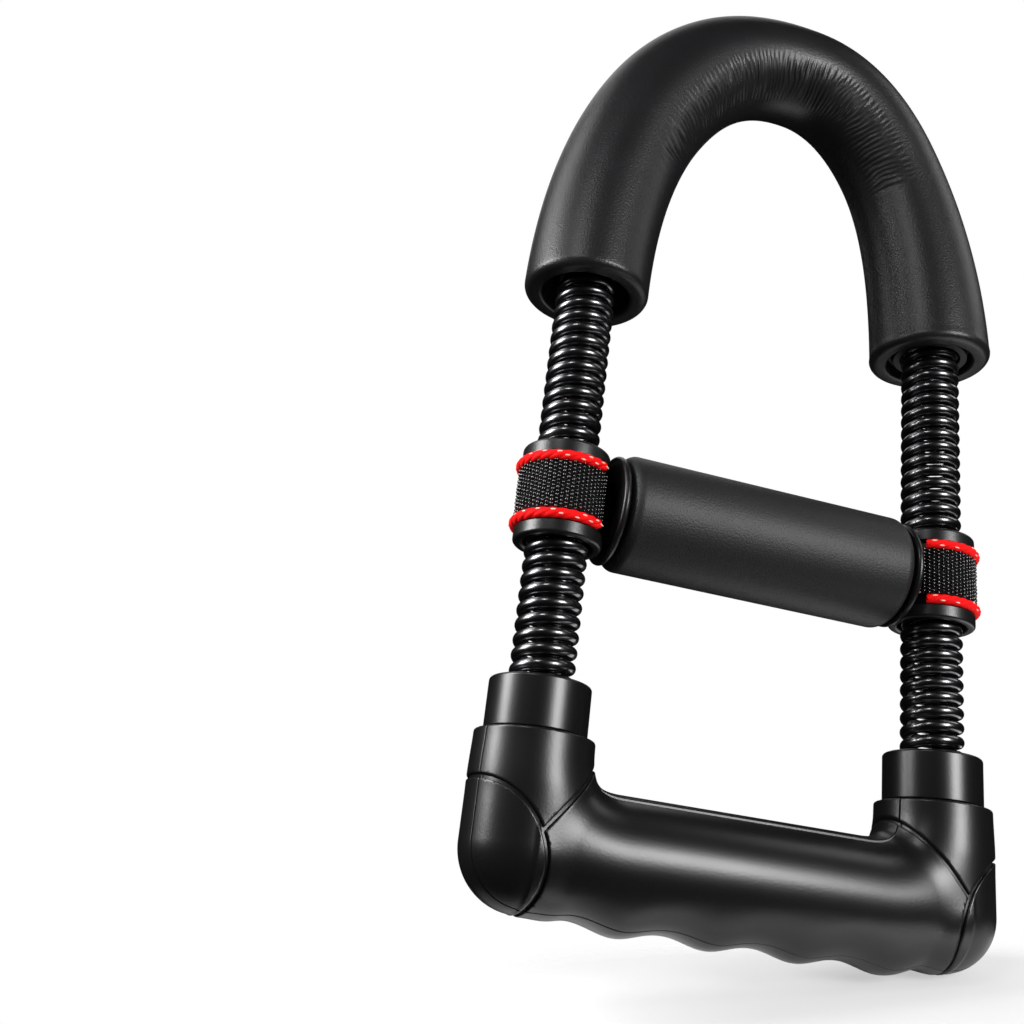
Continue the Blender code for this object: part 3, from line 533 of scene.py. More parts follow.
def ring_skin(name, points, size, flat=None, merge=False):
    """A smooth closed skin through rings of points, each joined to the next and the last to the first."""
    rings = len(points) // size
    faces = [(k * size + n, (k + 1) % rings * size + n, (k + 1) % rings * size + (n + 1) % size,
              k * size + (n + 1) % size) for k in range(rings) for n in range(size)]
    mesh = bpy.data.meshes.new(name)
    mesh.from_pydata(points, [], faces)
    if flat:
        mesh.uv_layers.new(name="length_and_width").data.foreach_set("uv", np.array(flat, np.float32).ravel())
    shape = bmesh.new()
    shape.from_mesh(mesh)
    if merge:
        bmesh.ops.remove_doubles(shape, verts=shape.verts, dist=1e-7)
    bmesh.ops.recalc_face_normals(shape, faces=shape.faces)
    shape.to_mesh(mesh)
    shape.free()
    mesh.shade_smooth()
    return shown(name, mesh)


def lathed(name, outline, at, along=(0, 0, 1), steps=LATHE_STEPS):
    """Turns a closed outline of (radius, height) points about an axis through a point."""
    axis = Vector(along)
    side = axis.orthogonal().normalized()
    other = axis.cross(side)
    points = []
    for k in range(steps):
        a = 2 * math.pi * k / steps
        out = side * math.cos(a) + other * math.sin(a)
        points += [Vector(at) + out * r + axis * h for r, h in outline]
    piece = ring_skin(name, points, len(outline), merge=True)
    piece.modifiers.new("even_shading", "WEIGHTED_NORMAL")
    return applied(piece)


ferrule_plastic = moulded_plastic("moulded_abs_polished", "#101011", roughness=0.29, grain_depth=0.000012)
ferrule_outline = rounded([
    (FERRULE_RADIUS, FERRULE_TOP, FERRULE_EDGE), (FERRULE_RADIUS, FERRULE_LOW, FINE_EDGE),
    (FERRULE_RADIUS - FERRULE_WALL, FERRULE_LOW, FINE_EDGE),
    (FERRULE_RADIUS - FERRULE_WALL, FERRULE_TOP - FERRULE_LIP, 0),
    (FERRULE_MOUTH, FERRULE_TOP - FERRULE_LIP, FINE_EDGE), (FERRULE_MOUTH, FERRULE_TOP, FERRULE_EDGE)])
for side, label in SIDES:
    ring = lathed(label + "_ferrule_ring", ferrule_outline, (side * LEG_X, 0, 0))
    ring.data.materials.append(ferrule_plastic)
    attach(ring, "handle")
    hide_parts(label + "_ferrule")


# Springs: hard-drawn steel wire, wound open and right-handed on a mandrel, its ends bent upright into the
# plugs, then dipped in gloss black lacquer. Each is drawn in two halves that meet at the split.
SPRING_RADIUS = 0.0085
WIRE_RADIUS = 0.0017
SPRING_PITCH = 0.0040
SPRING_LOW = 0.0410
SPRING_HIGH = 0.1881
SPRING_SPLIT = 0.1145
COIL_KNEE = 0.75
LOWER_FLEX_Z = 0.0699
UPPER_FLEX_Z = 0.1591
LOWER_BEND = (-0.0120, 0.0000)
UPPER_BEND = (-0.0020, 0.0215)
WIRE_SIDES = 18
CURL_STEPS = 44


def flat_wire():
    """The wire's centre line unrolled: (distance round the mandrel, height), with an upright end each way."""
    mean = SPRING_RADIUS - WIRE_RADIUS
    climb = math.atan2(SPRING_PITCH, 2 * math.pi * mean)
    bend = COIL_KNEE * 2 * WIRE_RADIUS
    knee = np.linspace(0, math.pi / 2 - climb, 8)
    foot = SPRING_LOW + 2 * WIRE_RADIUS
    start = [(0.0, SPRING_LOW)] + [(bend * (1 - math.cos(b)), foot + bend * math.sin(b)) for b in knee]
    run, rise = start[-1][0], start[-1][1] - SPRING_LOW
    height = SPRING_HIGH - SPRING_LOW - 2 * rise
    length = height / math.tan(climb)
    count = round(height / SPRING_PITCH * CURL_STEPS)
    middle = [(run + length * k / count, SPRING_LOW + rise + height * k / count) for k in range(1, count)]
    finish = [(2 * run + length - s, SPRING_LOW + SPRING_HIGH - z) for s, z in reversed(start)]
    return start + middle + finish


def growing(name, inputs):
    """A node tree that takes a curve or mesh and gives one, with named inputs for its sizes."""
    tree = bpy.data.node_groups.new(name, "GeometryNodeTree")
    tree.interface.new_socket("Geometry", in_out="OUTPUT", socket_type="NodeSocketGeometry")
    tree.interface.new_socket("Geometry", in_out="INPUT", socket_type="NodeSocketGeometry")
    kinds = {int: "NodeSocketInt", float: "NodeSocketFloat", tuple: "NodeSocketVector"}
    for label, value in inputs.items():
        made = tree.interface.new_socket(label, in_out="INPUT", socket_type=kinds[type(value)])
        made.default_value = value
    return tree


def grown(piece, tree, **values):
    """Runs a node tree on a piece with its named inputs set, and keeps the plain mesh that it gives."""
    grow = piece.modifiers.new(tree.name, "NODES")
    grow.node_group = tree
    for item in tree.interface.items_tree:
        if item.item_type == "SOCKET" and item.in_out == "INPUT" and item.name in values:
            grow[item.identifier] = values[item.name]
    graph = bpy.context.evaluated_depsgraph_get()
    mesh = bpy.data.meshes.new_from_object(piece.evaluated_get(graph))
    mesh.name = piece.name
    made = shown(piece.name + "_made", mesh)
    name = piece.name
    bpy.data.objects.remove(piece)
    made.name = name
    return made


def line_of(name, points):
    """A poly curve through points, for a node tree to work on."""
    curve = bpy.data.curves.new(name, "CURVE")
    curve.dimensions = "3D"
    run = curve.splines.new("POLY")
    run.points.add(len(points) - 1)
    for spot, point in zip(run.points, points):
        spot.co = (*point, 1.0)
    return shown(name, curve)


# Gloss lacquer on steel: dark steel under a clear hard skin, which looks black with small sharp white lights
# on every curl and a faint orange peel of 1.2 mm.
LACQUER_PEEL = 0.0012
LACQUER_PEEL_DEPTH = 0.000006

lacquer, tree = material("gloss_lacquered_spring_steel")
spot = add(tree, "ShaderNodeTexCoord").outputs["Object"]
peel = add(tree, "ShaderNodeTexNoise", {"Vector": spot, "Scale": 1 / LACQUER_PEEL, "Detail": 1.0})
relief = add(tree, "ShaderNodeBump", {"Height": peel, "Distance": LACQUER_PEEL_DEPTH})
shader = add(tree, "ShaderNodeBsdfPrincipled", {
    "Base Color": linear("#5C5C5E"), "Metallic": 1.0, "Roughness": 0.28, "Coat Weight": 1.0, "Coat IOR": 1.6,
    "Coat Roughness": 0.06, "Normal": relief, "Coat Normal": relief})
add(tree, "ShaderNodeOutputMaterial", {"Surface": shader})

winding = growing("wire_wound_on_a_mandrel", {
    "Mean Radius": SPRING_RADIUS - WIRE_RADIUS, "Wire Radius": WIRE_RADIUS, "Wire Sides": WIRE_SIDES,
    "Leg": LEG_X})
given = add(winding, "NodeGroupInput").outputs
place = add(winding, "GeometryNodeInputPosition")
flat = add(winding, "ShaderNodeSeparateXYZ", {0: place}).outputs
angle = add(winding, "ShaderNodeMath", {0: flat["X"], 1: given["Mean Radius"]}, operation="DIVIDE")
cosine = add(winding, "ShaderNodeMath", {0: angle}, operation="COSINE")
sine = add(winding, "ShaderNodeMath", {0: angle}, operation="SINE")
reach_x = add(winding, "ShaderNodeMath", {0: cosine, 1: given["Mean Radius"], 2: given["Leg"]},
              operation="MULTIPLY_ADD")
reach_y = add(winding, "ShaderNodeMath", {0: sine, 1: given["Mean Radius"]}, operation="MULTIPLY")
wrapped = add(winding, "ShaderNodeCombineXYZ", {"X": reach_x, "Y": reach_y, "Z": flat["Y"]})
coil = add(winding, "GeometryNodeSetPosition", {"Geometry": given["Geometry"], "Position": wrapped})
wire = add(winding, "GeometryNodeCurvePrimitiveCircle", {"Resolution": given["Wire Sides"],
                                                         "Radius": given["Wire Radius"]})
drawn = add(winding, "GeometryNodeCurveToMesh", {"Curve": coil, "Profile Curve": wire, "Fill Caps": True})
smooth = add(winding, "GeometryNodeSetShadeSmooth", {"Geometry": drawn})
real = add(winding, "GeometryNodeRealizeInstances", {0: smooth})
dipped = add(winding, "GeometryNodeSetMaterial", {"Geometry": real, "Material": lacquer})
add(winding, "NodeGroupOutput", {0: dipped})

wire_line = flat_wire()
cut = min(range(len(wire_line)), key=lambda k: abs(wire_line[k][1] - SPRING_SPLIT))
for side, label in SIDES:
    for end, run, bodies, flex, bend in (
            ("lower", wire_line[:cut + 1], ("handle", "springs"), LOWER_FLEX_Z, LOWER_BEND),
            ("upper", wire_line[cut:], ("springs", "arch"), UPPER_FLEX_Z, UPPER_BEND)):
        flat_line = line_of(f"{label}_spring_{end}", [(s, z, 0.0) for s, z in run])
        half_spring = grown(flat_line, winding, **{"Leg": side * LEG_X})
        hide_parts(label + "_spring")
        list(bodies)
        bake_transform(half_spring)


# Arch tube and arch foam: a bent steel tube, painted black, in a sleeve of closed-cell rubber foam that was
# pushed over it with soapy water. The bend stretches the sleeve thin and squeezes its inner side into fine
# creases about 2 mm apart, and its cut ends are soft-edged.
ARCH_BOTTOM = 0.1661
ARCH_HEIGHT = 0.1079
ARCH_FULLNESS = 2.2
APEX_SHIFT = 0.0060
TUBE_RADIUS = 0.0123
TUBE_BORE = 0.0111
TUBE_END = 0.1839
TUBE_EDGE = 0.0004
TUBE_STEP = 0.0040
TUBE_SIDES = 96
FOAM_RADIUS = 0.0179
FOAM_BEND_RADIUS = 0.0154
FOAM_THIN_AT = 0.62
FOAM_THIN_SPREAD = 0.38
FOAM_THIN_RAMP = 0.27
FOAM_BORE = 0.0126
FOAM_LEFT_END = 0.1711
FOAM_RIGHT_END = 0.1803
FOAM_EDGE = 0.0022
FOAM_MOUTH_EDGE = 0.0009
FOAM_STEP = 0.0010
FOAM_SIDES = 144
BORE_ROWS = 60
CREASE_FROM, CREASE_TO = 0.15, 0.78
CREASE_ENDS = 0.10
CREASE_BAND = (math.radians(114), math.radians(156))
CREASE_BACK = math.radians(128)
CREASE_SOFT = math.radians(22)
CREASE_PITCH = 0.0020
CREASE_LENGTH = 0.011
CREASE_DEPTH = 0.00070
CREASE_WAVER = 2.6
CREASE_WAVER_GIRTH = 0.7
CREASE_DRIFT = (0.6, 1.3)
CREASE_DRIFT_LAYER = 5.0
CREASE_FULL, CREASE_VARY, CREASE_LEAST = 0.72, 0.75, 0.15
CREASE_STEP = 0.00035


def arch_line(left_end, right_end, count=4000):
    """The arch's centre line and each point's share of the way round, left foot to right."""
    share = np.linspace(0, 1, count)
    across, up = np.cos(np.pi * share), np.maximum(np.sin(np.pi * share), 0)
    power = 2 / ARCH_FULLNESS
    reach = (LEG_X + np.copysign(APEX_SHIFT, across)) * np.abs(across) ** power
    line = np.stack([APEX_SHIFT - np.copysign(reach, across), 0 * share,
                     ARCH_BOTTOM + ARCH_HEIGHT * up ** power], -1)
    kept = line[:, 2] >= np.where(share < 0.5, left_end, right_end)
    return line[kept], share[kept]


def bent_sleeve(name, left_end, right_end, radius, bore, edge, mouth_edge, step, sides, dents=None):
    """A closed tube along the arch with rounded rims, dented by a function of place where one is given."""
    line, share = arch_line(left_end, right_end)
    run = np.concatenate([[0], np.cumsum(np.linalg.norm(np.diff(line, axis=0), axis=1))])
    length = run[-1]
    quarter = np.linspace(0, math.pi / 2, 8)
    foot = radius(share[0])
    left = [(mouth_edge * (1 - math.sin(a)), bore + mouth_edge * (1 - math.cos(a))) for a in quarter]
    left.append((0.0, (foot - edge + bore + mouth_edge) / 2))
    left += [(edge * (1 - math.cos(a)), foot - edge * (1 - math.sin(a))) for a in quarter]
    right = [(length - s, r) for s, r in reversed(left)]
    stops = [edge + step]
    while stops[-1] < length - edge - step:
        here = np.interp(stops[-1], run, share)
        stops.append(stops[-1] + (CREASE_STEP if dents and CREASE_FROM < here < CREASE_TO else step))
    middle = [(s, radius(np.interp(s, run, share))) for s in stops[:-1]]
    inside = [(s, bore) for s in np.linspace(length - mouth_edge, mouth_edge, BORE_ROWS)[1:-1]]
    rows = left + middle + right + inside
    at, out = np.array(rows).T
    centre, ahead, behind = [np.stack([np.interp(at + shift, run, line[:, k]) for k in range(3)], -1)
                             for shift in (0, step / 2, -step / 2)]
    ahead = (ahead - behind) / np.linalg.norm(ahead - behind, axis=1, keepdims=True)
    outward = np.stack([-ahead[:, 2], 0 * at, ahead[:, 0]], -1)[:, None, :]
    girth = 2 * np.pi * np.arange(sides) / sides
    ring = outward * np.cos(girth)[None, :, None] + np.array((0, -1, 0)) * np.sin(girth)[None, :, None]
    far = np.repeat(out[:, None], sides, axis=1)
    outside = np.arange(len(rows)) < len(rows) - len(inside)
    if dents:
        far = far - dents(at, np.where(outside, np.interp(at, run, share), -1), girth)
    points = centre[:, None, :] + ring * far[:, :, None]
    return ring_skin(name, points.reshape(-1, 3).tolist(), sides)


def foam_radius(share):
    """The sleeve's radius at a share of the way round: the bend stretches it thin."""
    thin = eased((FOAM_THIN_SPREAD - abs(share - FOAM_THIN_AT)) / FOAM_THIN_RAMP)
    return FOAM_RADIUS - thin * (FOAM_RADIUS - FOAM_BEND_RADIUS)


# Black paint on steel tube: a plain low sheen that hardly shows in the foam's open ends.
PAINT_FLOW = 0.003
PAINT_FLOW_DEPTH = 0.00002

tube_paint, tree = material("black_painted_steel_tube")
spot = add(tree, "ShaderNodeTexCoord").outputs["Object"]
flow = add(tree, "ShaderNodeTexNoise", {"Vector": spot, "Scale": 1 / PAINT_FLOW, "Detail": 2.0})
relief = add(tree, "ShaderNodeBump", {"Height": flow, "Distance": PAINT_FLOW_DEPTH})
shader = add(tree, "ShaderNodeBsdfPrincipled", {
    "Base Color": linear("#121213"), "Roughness": 0.60, "Specular IOR Level": 0.2, "Normal": relief})
add(tree, "ShaderNodeOutputMaterial", {"Surface": shader})

tube = bent_sleeve("arch_tube_bar", TUBE_END, TUBE_END, lambda share: TUBE_RADIUS, TUBE_BORE,
                   TUBE_EDGE, TUBE_EDGE, TUBE_STEP, TUBE_SIDES)
tube.data.materials.append(tube_paint)
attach(tube, "arch")
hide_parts("arch_tube")


# Closed-cell rubber foam with a moulded skin: dull charcoal with a soft wide sheen, a leathery pebble of
# 0.5 mm, and a tone that clouds a little over 12 mm.
FOAM_PEBBLE = 0.0005
FOAM_PEBBLE_DEPTH = 0.00010
FOAM_CLOUD = 0.012
FOAM_SHEEN_DRIFT = 0.02


def foam_rubber(name, darker, lighter, roughness):
    """Closed-cell foam with a pebbled skin."""
    made, tree = material(name)
    spot = add(tree, "ShaderNodeTexCoord").outputs["Object"]
    pebble = add(tree, "ShaderNodeTexNoise", {"Vector": spot, "Scale": 1 / FOAM_PEBBLE, "Detail": 2.0,
                                              "Roughness": 0.6})
    cloud = add(tree, "ShaderNodeTexNoise", {"Vector": spot, "Scale": 1 / FOAM_CLOUD, "Detail": 3.0})
    tone = add(tree, "ShaderNodeMix", {0: cloud, 6: linear(darker), 7: linear(lighter)}, data_type="RGBA")
    dull = add(tree, "ShaderNodeMapRange", {
        "Value": cloud, "To Min": roughness - FOAM_SHEEN_DRIFT, "To Max": roughness + FOAM_SHEEN_DRIFT})
    relief = add(tree, "ShaderNodeBump", {"Height": pebble, "Distance": FOAM_PEBBLE_DEPTH})
    shader = add(tree, "ShaderNodeBsdfPrincipled", {
        "Base Color": tone.outputs[2], "Roughness": dull, "IOR": 1.5, "Normal": relief})
    add(tree, "ShaderNodeOutputMaterial", {"Surface": shader})
    return made


def creases(at, share, girth):
    """How deep the folds are that the bend presses into the sleeve's inner side."""
    inward = np.pi - np.abs(np.pi - girth)
    reach = np.where(girth < np.pi, CREASE_BAND[1], CREASE_BACK)
    band = (eased((inward - CREASE_BAND[0]) / CREASE_SOFT + 0.5)
            * eased((reach - inward) / CREASE_SOFT + 0.5))
    bend = (eased((share - CREASE_FROM) / CREASE_ENDS + 0.5)
            * eased((CREASE_TO - share) / CREASE_ENDS + 0.5))
    depth = CREASE_DEPTH * bend[:, None] * band[None, :]
    along, across = CREASE_DRIFT
    for row, side in np.argwhere(depth > 0):
        run, turn = at[row], FOAM_RADIUS * girth[side]
        here = (run / CREASE_LENGTH, CREASE_WAVER_GIRTH * turn / CREASE_LENGTH, 0.0)
        waver = CREASE_WAVER * noise.fractal(here, 1.0, 2.0, 3)
        there = (along * run / CREASE_PITCH, across * turn / CREASE_LENGTH, CREASE_DRIFT_LAYER)
        deep = CREASE_FULL + CREASE_VARY * noise.noise(there)
        fold = 1 - abs(math.sin(math.pi * run / CREASE_PITCH + waver))
        depth[row, side] *= fold * min(max(deep, CREASE_LEAST), 1.0)
    return depth


arch_sleeve = bent_sleeve("arch_foam_sleeve", FOAM_LEFT_END, FOAM_RIGHT_END, foam_radius, FOAM_BORE,
                          FOAM_EDGE, FOAM_MOUTH_EDGE, FOAM_STEP, FOAM_SIDES, creases)
creased_foam = foam_rubber("closed_cell_rubber_foam_creased", "#161617", "#1B1B1D", roughness=0.34)
arch_sleeve.data.materials.append(creased_foam)
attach(arch_sleeve, "arch")
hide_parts("arch_foam")


# Arch bushes: a flanged ring of black nylon in each mouth of the tube, moulded, and a push fit. It keeps the
# spring from rattling against the steel.
BUSH_MOUTH = 0.0088
BUSH_RADIUS = 0.0098
BUSH_FLANGE_RADIUS = 0.0110
BUSH_TOP = 0.1879
BUSH_SEAT = 0.1836
BUSH_BOTTOM = 0.1820

nylon = moulded_plastic("moulded_black_nylon", "#131314", roughness=0.58, grain_depth=0.00002)
bush_outline = rounded([
    (BUSH_RADIUS, BUSH_TOP, FINE_EDGE), (BUSH_RADIUS, BUSH_SEAT, 0),
    (BUSH_FLANGE_RADIUS, BUSH_SEAT, FINE_EDGE), (BUSH_FLANGE_RADIUS, BUSH_BOTTOM, FINE_EDGE),
    (BUSH_MOUTH, BUSH_BOTTOM, FINE_EDGE), (BUSH_MOUTH, BUSH_TOP, FINE_EDGE)])
for side, label in SIDES:
    bush = lathed(label + "_arch_bush_ring", bush_outline, (side * LEG_X, 0, 0))
    bush.data.materials.append(nylon)
    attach(bush, "arch")
    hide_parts(label + "_arch_bush")


# Plugs and pins: turned steel, zinc plated. The lower plugs are held between the shells and the upper ones
# are pinned through the arch tube. None of them shows, so the solids stay and get their own finish.
PLATING_BRUSH = 0.0004
PLATING_STRETCH = (0.1, 0.1, 1.0)
PLATING_BRUSH_DEPTH = 0.00001

zinc, tree = material("turned_zinc_plated_steel")
spot = add(tree, "ShaderNodeTexCoord").outputs["Object"]
rings = add(tree, "ShaderNodeVectorMath", {0: spot, 1: PLATING_STRETCH}, operation="MULTIPLY")
brush = add(tree, "ShaderNodeTexNoise", {"Vector": rings, "Scale": 1 / PLATING_BRUSH, "Detail": 1.0})
dull = add(tree, "ShaderNodeMapRange", {"Value": brush, "To Min": 0.25, "To Max": 0.42})
relief = add(tree, "ShaderNodeBump", {"Height": brush, "Distance": PLATING_BRUSH_DEPTH})
shader = add(tree, "ShaderNodeBsdfPrincipled", {
    "Base Color": linear("#C4C6C8"), "Metallic": 1.0, "Roughness": dull, "Normal": relief})
add(tree, "ShaderNodeOutputMaterial", {"Surface": shader})
for label in ("left", "right"):
    for kind in ("lower_plug", "upper_plug", "arch_pin"):
        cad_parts[f"{label}_{kind}"].material_slots[0].material = zinc


# Shell screws: four button-head screws with a hexagon socket, cold-headed steel with black oxide, sunk in
# wells in the back half. One is made, and a node tree sets it at each station along the grip.
SCREW_RADIUS = 0.0012
SCREW_HEAD_RADIUS = 0.0027
SCREW_UNDERSIDE = 0.0003
SCREW_CROWN = 0.0021
SCREW_END = -0.0227
SCREW_SOCKET = 0.0013
SCREW_SOCKET_FLOOR = 0.0010
SCREW_CROWN_EDGE = 0.0009
SCREW_EDGE = 0.0002
SCREW_STEPS = 48
OXIDE_MOTTLE = 0.0008

oxide, tree = material("black_oxide_cold_headed_steel")
spot = add(tree, "ShaderNodeTexCoord").outputs["Object"]
mottle = add(tree, "ShaderNodeTexNoise", {"Vector": spot, "Scale": 1 / OXIDE_MOTTLE, "Detail": 2.0})
dull = add(tree, "ShaderNodeMapRange", {"Value": mottle, "To Min": 0.30, "To Max": 0.50})
shader = add(tree, "ShaderNodeBsdfPrincipled", {
    "Base Color": linear("#3A3A3D"), "Metallic": 1.0, "Roughness": dull})
add(tree, "ShaderNodeOutputMaterial", {"Surface": shader})

screw_outline = rounded([
    (0.0, SCREW_CROWN, 0), (SCREW_HEAD_RADIUS, SCREW_CROWN, SCREW_CROWN_EDGE),
    (SCREW_HEAD_RADIUS, SCREW_UNDERSIDE, SCREW_EDGE), (SCREW_RADIUS, SCREW_UNDERSIDE, 0),
    (SCREW_RADIUS, SCREW_END + SCREW_RADIUS, SCREW_EDGE), (0.0, SCREW_END, 0)])
screw = lathed("screw_blank", screw_outline, (0, SCREW_SEAT, 0), (0, 1, 0), SCREW_STEPS)
crown = Matrix.Translation((0, SCREW_SEAT + SCREW_CROWN, 0))
hexagon = bmesh.new()
bmesh.ops.create_cone(hexagon, cap_ends=True, segments=6, radius1=SCREW_SOCKET, radius2=SCREW_SOCKET,
                      depth=2 * (SCREW_CROWN - SCREW_SOCKET_FLOOR),
                      matrix=crown @ Matrix.Rotation(math.pi / 2, 4, "X"))
key = bpy.data.meshes.new("hexagon_key")
hexagon.to_mesh(key)
hexagon.free()
key_cutter = shown("hexagon_key", key)
sunk = screw.modifiers.new("hexagon_socket", "BOOLEAN")
sunk.object, sunk.solver = key_cutter, "EXACT"
applied(screw)
bpy.data.objects.remove(key_cutter)
screw.data.set_sharp_from_angle(angle=math.radians(35))

driving = growing("screws_in_a_row", {
    "Count": len(SCREW_STATIONS), "First": (SCREW_STATIONS[0], 0, GRIP_Z),
    "Step": (SCREW_STATIONS[1] - SCREW_STATIONS[0], 0, 0)})
given = add(driving, "NodeGroupInput").outputs
stations = add(driving, "GeometryNodeMeshLine", {"Count": given["Count"], "Start Location": given["First"],
                                                 "Offset": given["Step"]})
driven = add(driving, "GeometryNodeInstanceOnPoints", {"Points": stations, "Instance": given["Geometry"]})
real = add(driving, "GeometryNodeRealizeInstances", {0: driven})
blackened = add(driving, "GeometryNodeSetMaterial", {"Geometry": real, "Material": oxide})
add(driving, "NodeGroupOutput", {0: blackened})
screws = grown(screw, driving)
screws.name = "shell_screws"
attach(screws, "handle")
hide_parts("shell_screw_1", "shell_screw_2", "shell_screw_3", "shell_screw_4")


# Collars: black ABS sleeves that slide on the springs. Each has a rim at top and bottom with a soft edge, and
# a shallow channel between them for the strap and the red cords.
PAD_Z = 0.1081
COLLAR_HALF = 0.01335
COLLAR_CHANNEL_HALF = 0.00955
COLLAR_RADIUS = 0.0119
COLLAR_FLOOR = 0.0106
COLLAR_BORE = 0.0092
COLLAR_EDGE = 0.0009

collar_plastic = moulded_plastic("moulded_abs_satin", "#111112", roughness=0.33, grain_depth=0.00002)
collar_outline = rounded([
    (COLLAR_RADIUS, COLLAR_HALF, COLLAR_EDGE), (COLLAR_RADIUS, COLLAR_CHANNEL_HALF, FINE_EDGE),
    (COLLAR_FLOOR, COLLAR_CHANNEL_HALF, 0), (COLLAR_FLOOR, -COLLAR_CHANNEL_HALF, 0),
    (COLLAR_RADIUS, -COLLAR_CHANNEL_HALF, FINE_EDGE), (COLLAR_RADIUS, -COLLAR_HALF, COLLAR_EDGE),
    (COLLAR_BORE, -COLLAR_HALF, COLLAR_EDGE), (COLLAR_BORE, COLLAR_HALF, COLLAR_EDGE)])
for side, label in SIDES:
    sleeve = lathed(label + "_collar_sleeve", collar_outline, (side * LEG_X, 0, PAD_Z))
    sleeve.data.materials.append(collar_plastic)
    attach(sleeve, "pad_carriage")
    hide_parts(label + "_collar")


# Strap: one loop of black nylon webbing, 13.5 mm wide, round both collars and twice through the pad. Its face
# is woven in upright ribs, and every rib is a file of small glinting floats that lean one way and the other.
STRAP_THICKNESS = 0.0011
STRAP_HALF_WIDTH = 0.00675
STRAP_RADIUS = 0.01145
STRAP_LANE = 0.0008
STRAP_LEAVES = math.radians(40)
STRAP_TUCK = 0.3
STRAP_EDGE = 0.0003
STRAP_STEPS = 96
RIB_PITCH = 0.00125
FLOAT_PITCH = 0.00105
FLOAT_LENGTH = 0.00110
FLOAT_WIDTH = 0.00095
FLOAT_THICKNESS = 0.00052
FLOAT_LEAN = math.radians(24)
LEAN_OF_ALL, LEAN_BY_RIB = 0.8, 0.35
FLOAT_SWELL = (0.75, 1.1)
FLOAT_STEPS = 90
RIB_COUNT = 47
YARN_DEPTH = 0.00025


def strap_line(side):
    """One half of the strap's centre line: out of the pad, round a collar and back in."""
    run = (STRAP_RADIUS * math.sin(STRAP_LEAVES) - STRAP_LANE) / math.cos(STRAP_LEAVES)
    mouth = LEG_X - STRAP_RADIUS * math.cos(STRAP_LEAVES) - run * math.sin(STRAP_LEAVES)
    tuck = STRAP_TUCK * run
    start, corner = np.array((mouth - tuck, STRAP_LANE)), np.array((mouth, STRAP_LANE))
    end = corner + tuck * np.array((math.sin(STRAP_LEAVES), math.cos(STRAP_LEAVES)))
    knee = [tuple((1 - t) ** 2 * start + 2 * t * (1 - t) * corner + t * t * end)
            for t in np.linspace(0, 1, 12)]
    loop = [(LEG_X + STRAP_RADIUS * math.cos(a), STRAP_RADIUS * math.sin(a))
            for a in np.linspace(math.pi - STRAP_LEAVES, STRAP_LEAVES - math.pi, STRAP_STEPS)]
    back = [(x, -y) for x, y in reversed(knee)]
    return [(side * x, y) for x, y in knee + loop + back]


def woven_nylon(name, colour, roughness, rib):
    """Black nylon yarn. The band under the floats shows its weft as fine upright ribs."""
    made, tree = material(name)
    spot = add(tree, "ShaderNodeTexCoord").outputs["UV"]
    thread = add(tree, "ShaderNodeVectorMath", {0: spot, 1: (1 / rib, 1 / FLOAT_PITCH, 1.0)},
                 operation="MULTIPLY")
    yarn = add(tree, "ShaderNodeTexVoronoi", {"Vector": thread, "Scale": 1.0, "Randomness": 0.25},
               voronoi_dimensions="2D")
    relief = add(tree, "ShaderNodeBump", {"Height": yarn, "Distance": YARN_DEPTH}, invert=True)
    shader = add(tree, "ShaderNodeBsdfPrincipled", {
        "Base Color": linear(colour), "Roughness": roughness, "Specular IOR Level": 0.15, "Normal": relief})
    add(tree, "ShaderNodeOutputMaterial", {"Surface": shader})
    return made


band_yarn = woven_nylon("woven_nylon_webbing", "#060607", 0.75, RIB_PITCH / 2)
line = strap_line(1) + [(x, y) for x, y in reversed(strap_line(-1))]
line = [np.array(point) for point in line]
section = rounded([(STRAP_THICKNESS / 2, STRAP_HALF_WIDTH, STRAP_EDGE),
                   (STRAP_THICKNESS / 2, -STRAP_HALF_WIDTH, STRAP_EDGE),
                   (-STRAP_THICKNESS / 2, -STRAP_HALF_WIDTH, STRAP_EDGE),
                   (-STRAP_THICKNESS / 2, STRAP_HALF_WIDTH, STRAP_EDGE)], steps=3)
round_edge = [h + r for r, h in section]
points, pattern, travelled = [], [], 0.0
for k, here in enumerate(line):
    ahead = line[(k + 1) % len(line)] - line[k - 1]
    ahead = ahead / np.linalg.norm(ahead)
    across = np.array((-ahead[1], ahead[0]))
    points += [(*(here + across * r), PAD_Z + h) for r, h in section]
    step = np.linalg.norm(line[(k + 1) % len(line)] - here)
    for n, low in enumerate(round_edge):
        high = round_edge[(n + 1) % len(section)]
        pattern += [(travelled, low), (travelled + step, low), (travelled + step, high), (travelled, high)]
    travelled += step
webbing = ring_skin("strap_webbing", points, len(section), pattern)
webbing.data.materials.append(band_yarn)
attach(webbing, "pad_carriage")
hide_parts("strap")

# Nylon float: smooth bright yarn, so each one carries a small glint.
YARN_FIBRE = 0.0004

float_yarn, tree = material("bright_nylon_yarn_float")
spot = add(tree, "ShaderNodeTexCoord").outputs["Object"]
fibre = add(tree, "ShaderNodeTexNoise", {"Vector": spot, "Scale": 1 / YARN_FIBRE, "Detail": 1.0})
dull = add(tree, "ShaderNodeMapRange", {"Value": fibre, "To Min": 0.10, "To Max": 0.22})
shader = add(tree, "ShaderNodeBsdfPrincipled", {
    "Base Color": linear("#050506"), "Roughness": dull, "IOR": 1.62, "Specular IOR Level": 1.0})
add(tree, "ShaderNodeOutputMaterial", {"Surface": shader})

